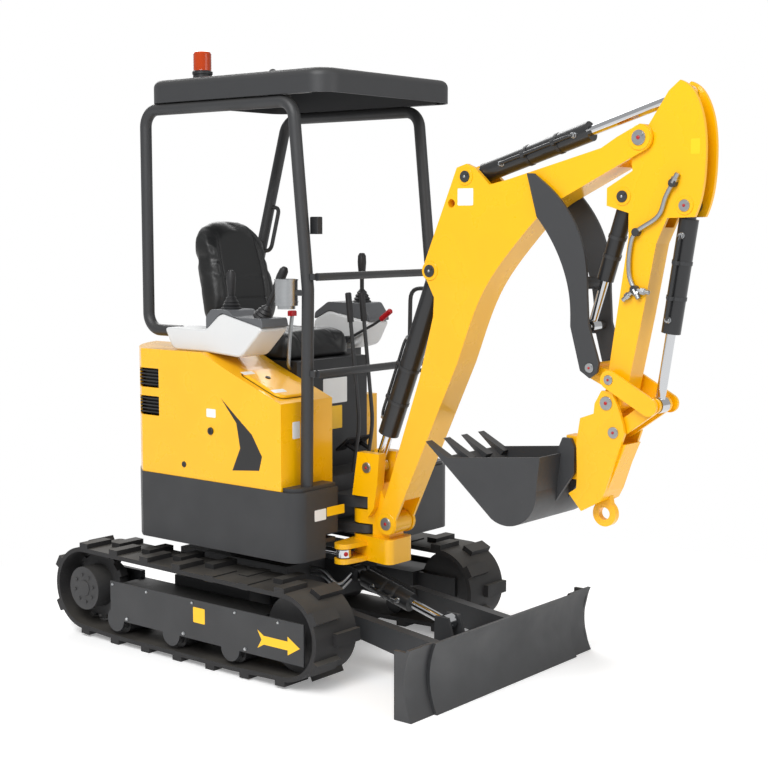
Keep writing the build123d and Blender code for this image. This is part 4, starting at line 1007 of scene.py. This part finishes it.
@dataclass
class Bodywork:
    """Hood louvres, fuel lid, grab handles, beacon and the steel pipes on the arm and track frame."""

    machine: Machine
    vent_x: tuple[float, float] = (-340.0, -205.0)
    vent_z: tuple[tuple[float, float], ...] = ((965.0, 1045.0), (1080.0, 1160.0))
    slat_pitch: float = 14.0
    slat_high: float = 5.0
    lid_place: tuple[float, float, float] = (336.0, -358.0, 1122.3)
    lid_thick: float = 12.0
    handle_radius: float = 9.0

    def build(self) -> None:
        """Make the bodywork's added forms."""
        self.build_grilles()
        self.build_lid()
        self.build_handles()
        self.build_beacon()
        self.build_arm_pipe()
        self.build_blade_pipes()

    def build_grilles(self) -> None:
        """Louvres in the hood's side vents, with a black sheet behind them as painted shade in the vent
        openings.
        """
        left, right = self.vent_x
        painted_shade_sheets, slats = [], []
        for low, high in self.vent_z:
            back = [(left, low), (right, low), (right, high), (left, high)]
            # Black film sheet behind the louvres: painted shade where the vents open into the hood.
            painted_shade_sheets.append(self.machine.prism(back, -447.0, -445.2))
            for z in np.arange(low + 8.0, high - 6.0, self.slat_pitch):
                top = z + self.slat_high
                blade = [(left - 1.0, z), (right + 1.0, z), (right + 1.0, top), (left - 1.0, top)]
                slats.append(self.machine.prism(blade, -466.0, -450.0))
        make_piece("hood_vent_painted_shade", merged(painted_shade_sheets), Paint.BLACK_FILM, "house")
        make_piece("hood_vent_louvres", merged(slats), Paint.PLASTIC, "house")
        catch = disc(12.0, 3.0, 1.0).placed(self.machine.at(-60.0, HOOD_Y, 780.0), RIGHT)
        make_piece("hood_catch", catch, Paint.PLASTIC, "house")

    def build_lid(self) -> None:
        """Fuel lid with a seal and a lock on the hood's front slope."""
        place = self.machine.at(*self.lid_place)
        lid = slab(rounded_outline(236.0 * MM, 193.0 * MM, 34.0 * MM), self.lid_thick * MM, 5.0 * MM)
        make_piece("fuel_lid", lid.placed(place, HOOD_SLOPE), Paint.YELLOW, "house", 2.0 * MM)
        seal = slab(rounded_outline(242.0 * MM, 199.0 * MM, 36.0 * MM), 1.5 * MM)
        make_piece("fuel_lid_seal", seal.placed(place, HOOD_SLOPE), Paint.RUBBER, "house")
        spot = self.machine.at(300.0, -372.0, 1136.2) + np.array(HOOD_SLOPE) * self.lid_thick * MM
        make_piece("fuel_lid_lock", disc(11.0, 4.0, 1.5).placed(spot, HOOD_SLOPE), Paint.PLASTIC, "house")

    def build_handles(self) -> None:
        """Grab handles on the left canopy posts, each a bar with two bends."""
        rear = [(-370, 290.5, 1628), (-308, 290.5, 1628), (-282, 321.7, 1822), (-344, 321.7, 1822)]
        front = [(526, 385, 1130), (414, 385, 1130), (420, 385, 1478), (532, 385, 1478)]
        handles = []
        for route, bend in ((rear, 34.0), (front, 60.0)):
            spots = [self.machine.at(*spot) for spot in route]
            handles.append(bent(spots, self.handle_radius * MM, bend * MM))
        make_piece("grab_handles", merged(handles), Paint.CHARCOAL, "house")

    def build_beacon(self) -> None:
        """Black base and ribbed amber lens."""
        spot = self.machine.at(-170.0, -250.0, 2332.2)
        base = turned(np.array([(39, 0), (39, 25), (42, 28), (42, 38), (37, 42.2)], float) * MM, 36)
        make_piece("beacon_base", base.placed(spot), Paint.PLASTIC, "house")
        ribs = [(37.0 - 0.8 * (k % 2), z) for k, z in enumerate(np.arange(42.2, 108.0, 5.5))]
        crown = [(37, 110), (33, 117), (22, 122), (8, 124.5), (0.5, 124.8)]
        lens = turned(np.array([*ribs, *crown], float) * MM, 40)
        made = make_piece("beacon_lens", lens.placed(spot), Paint.AMBER, "house")
        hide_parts("beacon")

    def build_arm_pipe(self) -> None:
        """Steel pipe clamped to the arm's right side."""
        route = [(126, -152), (101, -197), (73, -262), (-8, -314), (-30, -368), (-32, -454), (-11, -507)]
        spots = [self.machine.on("arm_swing", x, ARM_PIPE_Y, z) for x, z in route]
        make_piece("arm_pipe", rod(spots, 8.0 * MM), Paint.ZINC, "arm")
        clamps = []
        for k in (0, 3, 6):
            face = spots[k].copy()
            face[1] = ARM_Y * MM
            clamps.append(disc(14.0, 22.0, 2.0).placed(face, RIGHT))
        make_piece("arm_pipe_clamps", merged(clamps), Paint.CHARCOAL, "arm")

    def build_blade_pipes(self) -> None:
        """Two steel pipes from the track frame to the blade ram's lug."""
        at = self.machine.at
        pipes = []
        for rise in (0.0, 24.0):
            spots = [at(306.0, -132.0, 322.0 + rise), at(385.0, -132.0, 322.0 + rise)]
            spots += [at(448.0, -124.0, 258.0 + rise), at(452.0, -44.0, 300.0 + rise)]
            pipes.append(bent(spots, 7.0 * MM, 40.0 * MM))
        make_piece("blade_pipes", merged(pipes), Paint.ZINC, "undercarriage")


@dataclass
class Seat:
    """Vinyl seat cushion and back on hinge plates, each swelled from a smaller form by a short simulation."""

    machine: Machine
    voxel: float = 0.006
    swell: float = 0.024
    frames: int = 20
    inset: float = 14.0
    width: float = 430.0
    depth: float = 460.0
    back_high: float = 486.0
    middle_y: float = 30.0
    cushion_foot: tuple[float, float, float] = (15.0, 30.0, 1195.2)
    back_foot: tuple[float, float, float] = (-262.0, 30.0, 1288.0)
    hinge_reach: float = 128.0
    fill: float = 0.7

    def build(self) -> None:
        """Make the cushion, the back and the hinges."""
        self.build_cushion()
        self.build_back()
        self.build_hinges()

    def build_cushion(self) -> None:
        """Cushion with rounded corners and a crowned top."""
        outline = rounded_outline(self.depth - 2 * self.inset, self.width - 2 * self.inset, 58.0, 8)
        levels = [(0, 10), (8, 0), (62, 0), (80, 9), (88, 26), (90, 60), (90, 130)]
        foot = self.machine.at(*self.cushion_foot)
        cushion = self.swelled("seat_cushion_pad", stack(outline, levels).placed(foot), foot[2] + 4.0 * MM)
        self.sew_cushion(cushion, foot)
        self.finish(cushion, "seat_cushion")

    def build_back(self) -> None:
        """Leaning back that narrows to a round top."""
        half, high = self.width / 2 - self.inset, self.back_high
        side = [(half, 0), (half + 4, 190), (half - 22, high)]
        outline = softened([(-half, 0), *side, *((-x, y) for x, y in side[:0:-1])], 150.0, steps=9)
        levels = [(0, 16), (9, 2), (30, 0), (56, 2), (68, 14), (74, 40), (75, 100)]
        lean = unit((-130.0, 0.0, 500.0))
        out = unit(np.cross(LEFT, lean))
        foot = self.machine.at(*self.back_foot)
        back = self.swelled("seat_back_pad", stack(outline, levels).placed(foot, out, LEFT), None)
        self.sew_back(back, foot, lean, out)
        self.finish(back, "seat_back")

    def build_hinges(self) -> None:
        """Two steel hinge plates that carry the back from inside the cushion's rear end."""
        low = [(-150, 1215), (-205, 1232), (-258, 1290), (-282, 1400)]
        high = [(-246, 1408), (-220, 1312), (-180, 1265), (-150, 1255)]
        outline = softened(low + high, 16.0)
        plates = []
        for side in (-1.0, 1.0):
            y = self.middle_y + side * self.hinge_reach
            plates.append(self.machine.prism(outline, y - 7.0, y + 7.0))
        make_piece("seat_hinges", merged(plates), Paint.CHARCOAL, "house")

    def swelled(self, name: str, form: Shape, rest_z: float | None) -> bpy.types.Object:
        """Remesh a form and let air pressure swell it, held where it rests and capped elsewhere.

        Args:
            name: piece's name.
            form: form to start from.
            rest_z: height up to which the form is held, or None.

        Returns:
            The swelled piece.
        """
        made = make_piece(name, form, Paint.VINYL, "house")
        remesh = made.modifiers.new("even_mesh", "REMESH")
        remesh.mode = "VOXEL"
        remesh.voxel_size = self.voxel
        self.bake(made)
        start = coordinates(made.data)
        held = start[:, 2] < rest_z if rest_z is not None else np.zeros(len(start), bool)
        group = made.vertex_groups.new(name="held")
        group.add([int(k) for k in np.flatnonzero(held)], 1.0, "REPLACE")
        cloth = made.modifiers.new("swell", "CLOTH")
        cloth.settings.use_pressure = True
        cloth.settings.uniform_pressure_force = 4.0
        cloth.settings.effector_weights.gravity = 0.0
        cloth.settings.vertex_group_mass = "held"
        cloth.point_cache.frame_start = 1
        cloth.point_cache.frame_end = self.frames
        for frame in range(1, self.frames + 1):
            bpy.context.scene.frame_set(frame)
        self.bake(made)
        bpy.context.scene.frame_set(1)
        moved = coordinates(made.data) - start
        length = np.linalg.norm(moved, axis=1)[:, None]
        capped = start + moved * np.minimum(1.0, self.swell / (length + 1e-9))
        made.data.vertices.foreach_set("co", capped.ravel())
        made.vertex_groups.clear()
        ease = made.modifiers.new("eased_wrinkles", "SMOOTH")
        ease.factor = 0.5
        ease.iterations = 14
        self.bake(made)
        return made

    def bake(self, made: bpy.types.Object) -> None:
        """Turn a piece's modifiers into its mesh."""
        deps = bpy.context.evaluated_depsgraph_get()
        mesh = bpy.data.meshes.new_from_object(made.evaluated_get(deps))
        made.modifiers.clear()
        made.data = mesh

    def sew_cushion(self, made: bpy.types.Object, origin: Array) -> None:
        """Raise the side bolsters and press the sewn seams into the cushion's top.

        Args:
            made: the swelled cushion.
            origin: middle of its underside.
        """
        spots = coordinates(made.data)
        local = (spots - origin) / MM
        top = smooth((local[:, 2] - 55.0) / 30.0)
        side = np.abs(local[:, 1])
        lift = 14.0 * smooth((side - 110.0) / 50.0) * (1.0 - smooth((side - 165.0) / 40.0))
        seam = -6.0 * np.exp(-(((side - 112.0) / 5.0) ** 2))
        for x in (-70.0, 40.0):
            seam = seam - 4.0 * np.exp(-(((local[:, 0] - x) / 5.0) ** 2)) * (side < 112.0)
        spots[:, 2] += (lift + seam) * top * MM
        made.data.vertices.foreach_set("co", spots.ravel())

    def sew_back(self, made: bpy.types.Object, origin: Array, lean: Array, out: Array) -> None:
        """Bring the back's wings forward and press its sewn seams in.

        Args:
            made: the swelled back.
            origin: middle of its lower edge.
            lean: direction up its face.
            out: direction out of its face.
        """
        spots = coordinates(made.data)
        local = (spots - origin) / MM
        up, side, depth = local @ lean, np.abs(local[:, 1]), local @ out
        front = smooth((depth - 35.0) / 30.0)
        rise = smooth((up - 20.0) / 120.0) * (1.0 - smooth((up - 330.0) / 150.0))
        wing = 26.0 * smooth((side - 95.0) / 90.0) * rise
        line = 92.0 + 26.0 * np.sin(up / self.back_high * math.pi)
        seam = -7.0 * np.exp(-(((side - line) / 5.0) ** 2)) * smooth((430.0 - up) / 60.0)
        for height in (120.0, 215.0):
            seam = seam - 4.0 * np.exp(-(((up - height) / 5.0) ** 2)) * (side < line)
        spots += ((wing + seam) * front * MM)[:, None] * out
        made.data.vertices.foreach_set("co", spots.ravel())

    def finish(self, made: bpy.types.Object, node: str) -> None:
        """Smooth a pad and put it in its node's place."""
        made.data.shade_smooth()
        rounding = made.modifiers.new("rounded", "SUBSURF")
        rounding.levels = 1
        rounding.render_levels = 1
        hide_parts(node)


@dataclass
class Studio:
    """White floor that fades into the backdrop, soft lamps and the camera at the photographed angle."""

    camera_place: tuple[float, float, float] = (3.711, -4.585, 1.756)
    azimuth: float = 39.4
    elevation: float = 6.2
    lens_mm: float = 69.8
    sensor_mm: float = 36.0
    floor_size: float = 60.0
    floor_drop: float = 0.001
    fade: tuple[float, float] = (1.5, 2.6)
    floor_glow: float = 0.25
    sky: float = 0.5

    def build(self) -> None:
        """Make the floor, the lamps, the world and the camera."""
        self.build_floor()
        self.build_lamps()
        self.build_camera()

    def build_floor(self) -> None:
        """Flat white floor that keeps the shadow near the object and is plain white beyond it."""
        half = self.floor_size / 2
        corners = np.array([(-half, -half), (half, -half), (half, half), (-half, half)])
        points = np.column_stack([corners, np.full(4, -self.floor_drop)])
        mesh = bpy.data.meshes.new("floor")
        mesh.from_pydata(points.tolist(), [], [(0, 1, 2, 3)])
        floor = bpy.data.objects.new("floor", mesh)
        bpy.context.scene.collection.objects.link(floor)
        material = bpy.data.materials.new("white_floor")
        material.use_nodes = True
        tree = material.node_tree
        shader = tree.nodes["Principled BSDF"]
        shader.inputs["Base Color"].default_value = linear("#FAFAFA")
        shader.inputs["Roughness"].default_value = 0.9
        shader.inputs["Emission Color"].default_value = linear("#FFFFFF")
        shader.inputs["Emission Strength"].default_value = self.floor_glow
        place = add_node(tree, "TexCoord", "Object", {})
        distance = add_node(tree, "VectorMath", "Value", {0: place}, operation="LENGTH")
        span = {"Value": distance, "From Min": self.fade[0], "From Max": self.fade[1]}
        share = add_node(tree, "MapRange", "Result", span, interpolation_type="SMOOTHSTEP")
        plain = add_node(tree, "Emission", "Emission", {"Color": linear("#FFFFFF"), "Strength": 1.0})
        mixed = add_node(tree, "MixShader", "Shader", {0: share, 1: shader.outputs["BSDF"], 2: plain})
        tree.links.new(mixed, tree.nodes["Material Output"].inputs["Surface"])
        mesh.materials.append(material)

    def build_lamps(self) -> None:
        """Soft key, fill and back lamps, and a pale world."""
        lamps = [
            ("key", (1.5, -5.0, 5.5), 360.0, 4.0),
            ("fill", (5.5, 0.5, 3.5), 70.0, 3.5),
            ("back", (-4.5, 3.0, 5.0), 200.0, 4.0),
        ]
        target = np.array([0.0, 0.0, 1.0])
        for name, place, power, size in lamps:
            data = bpy.data.lights.new(name, "AREA")
            data.energy = power
            data.size = size
            lamp = bpy.data.objects.new(name, data)
            bpy.context.scene.collection.objects.link(lamp)
            lamp.location = place
            ahead = unit(target - np.array(place))
            lamp.rotation_euler = (math.acos(-ahead[2]), 0.0, math.atan2(ahead[1], ahead[0]) - math.pi / 2)
        world = bpy.data.worlds.new("studio")
        bpy.context.scene.world = world
        world.use_nodes = True
        tree = world.node_tree
        rays = [add_node(tree, "LightPath", f"Is {kind} Ray", {}) for kind in ("Camera", "Transmission")]
        seen = add_node(tree, "Math", "Value", {0: rays[0], 1: rays[1]}, operation="MAXIMUM")
        strength = add_node(tree, "MapRange", "Result", {"Value": seen, "To Min": self.sky, "To Max": 1.0})
        tree.links.new(strength, tree.nodes["Background"].inputs["Strength"])
        tree.nodes["Background"].inputs["Color"].default_value = linear("#FFFFFF")

    def build_camera(self) -> None:
        """Camera fitted to the photographed view."""
        data = bpy.data.cameras.new("camera")
        data.sensor_width = self.sensor_mm
        data.lens = self.lens_mm
        camera = bpy.data.objects.new("camera", data)
        bpy.context.scene.collection.objects.link(camera)
        camera.location = self.camera_place
        camera.rotation_euler = (math.radians(90.0 - self.elevation), 0.0, math.radians(self.azimuth))
        bpy.context.scene.camera = camera
        bpy.context.scene.view_settings.view_transform = "Standard"


def main() -> None:
    """Load the frame, dress it and add every piece."""
    logging.basicConfig(level=logging.INFO, format="%(name)s: %(message)s")
    machine = Machine(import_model())
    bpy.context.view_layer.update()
    for group in (Dressing, Pins, Plumbing, Fasteners, Films, Trim, Controls, Bodywork, Seat):
        group(machine).build()
    Studio().build()


if __name__ == "__main__":
    main()
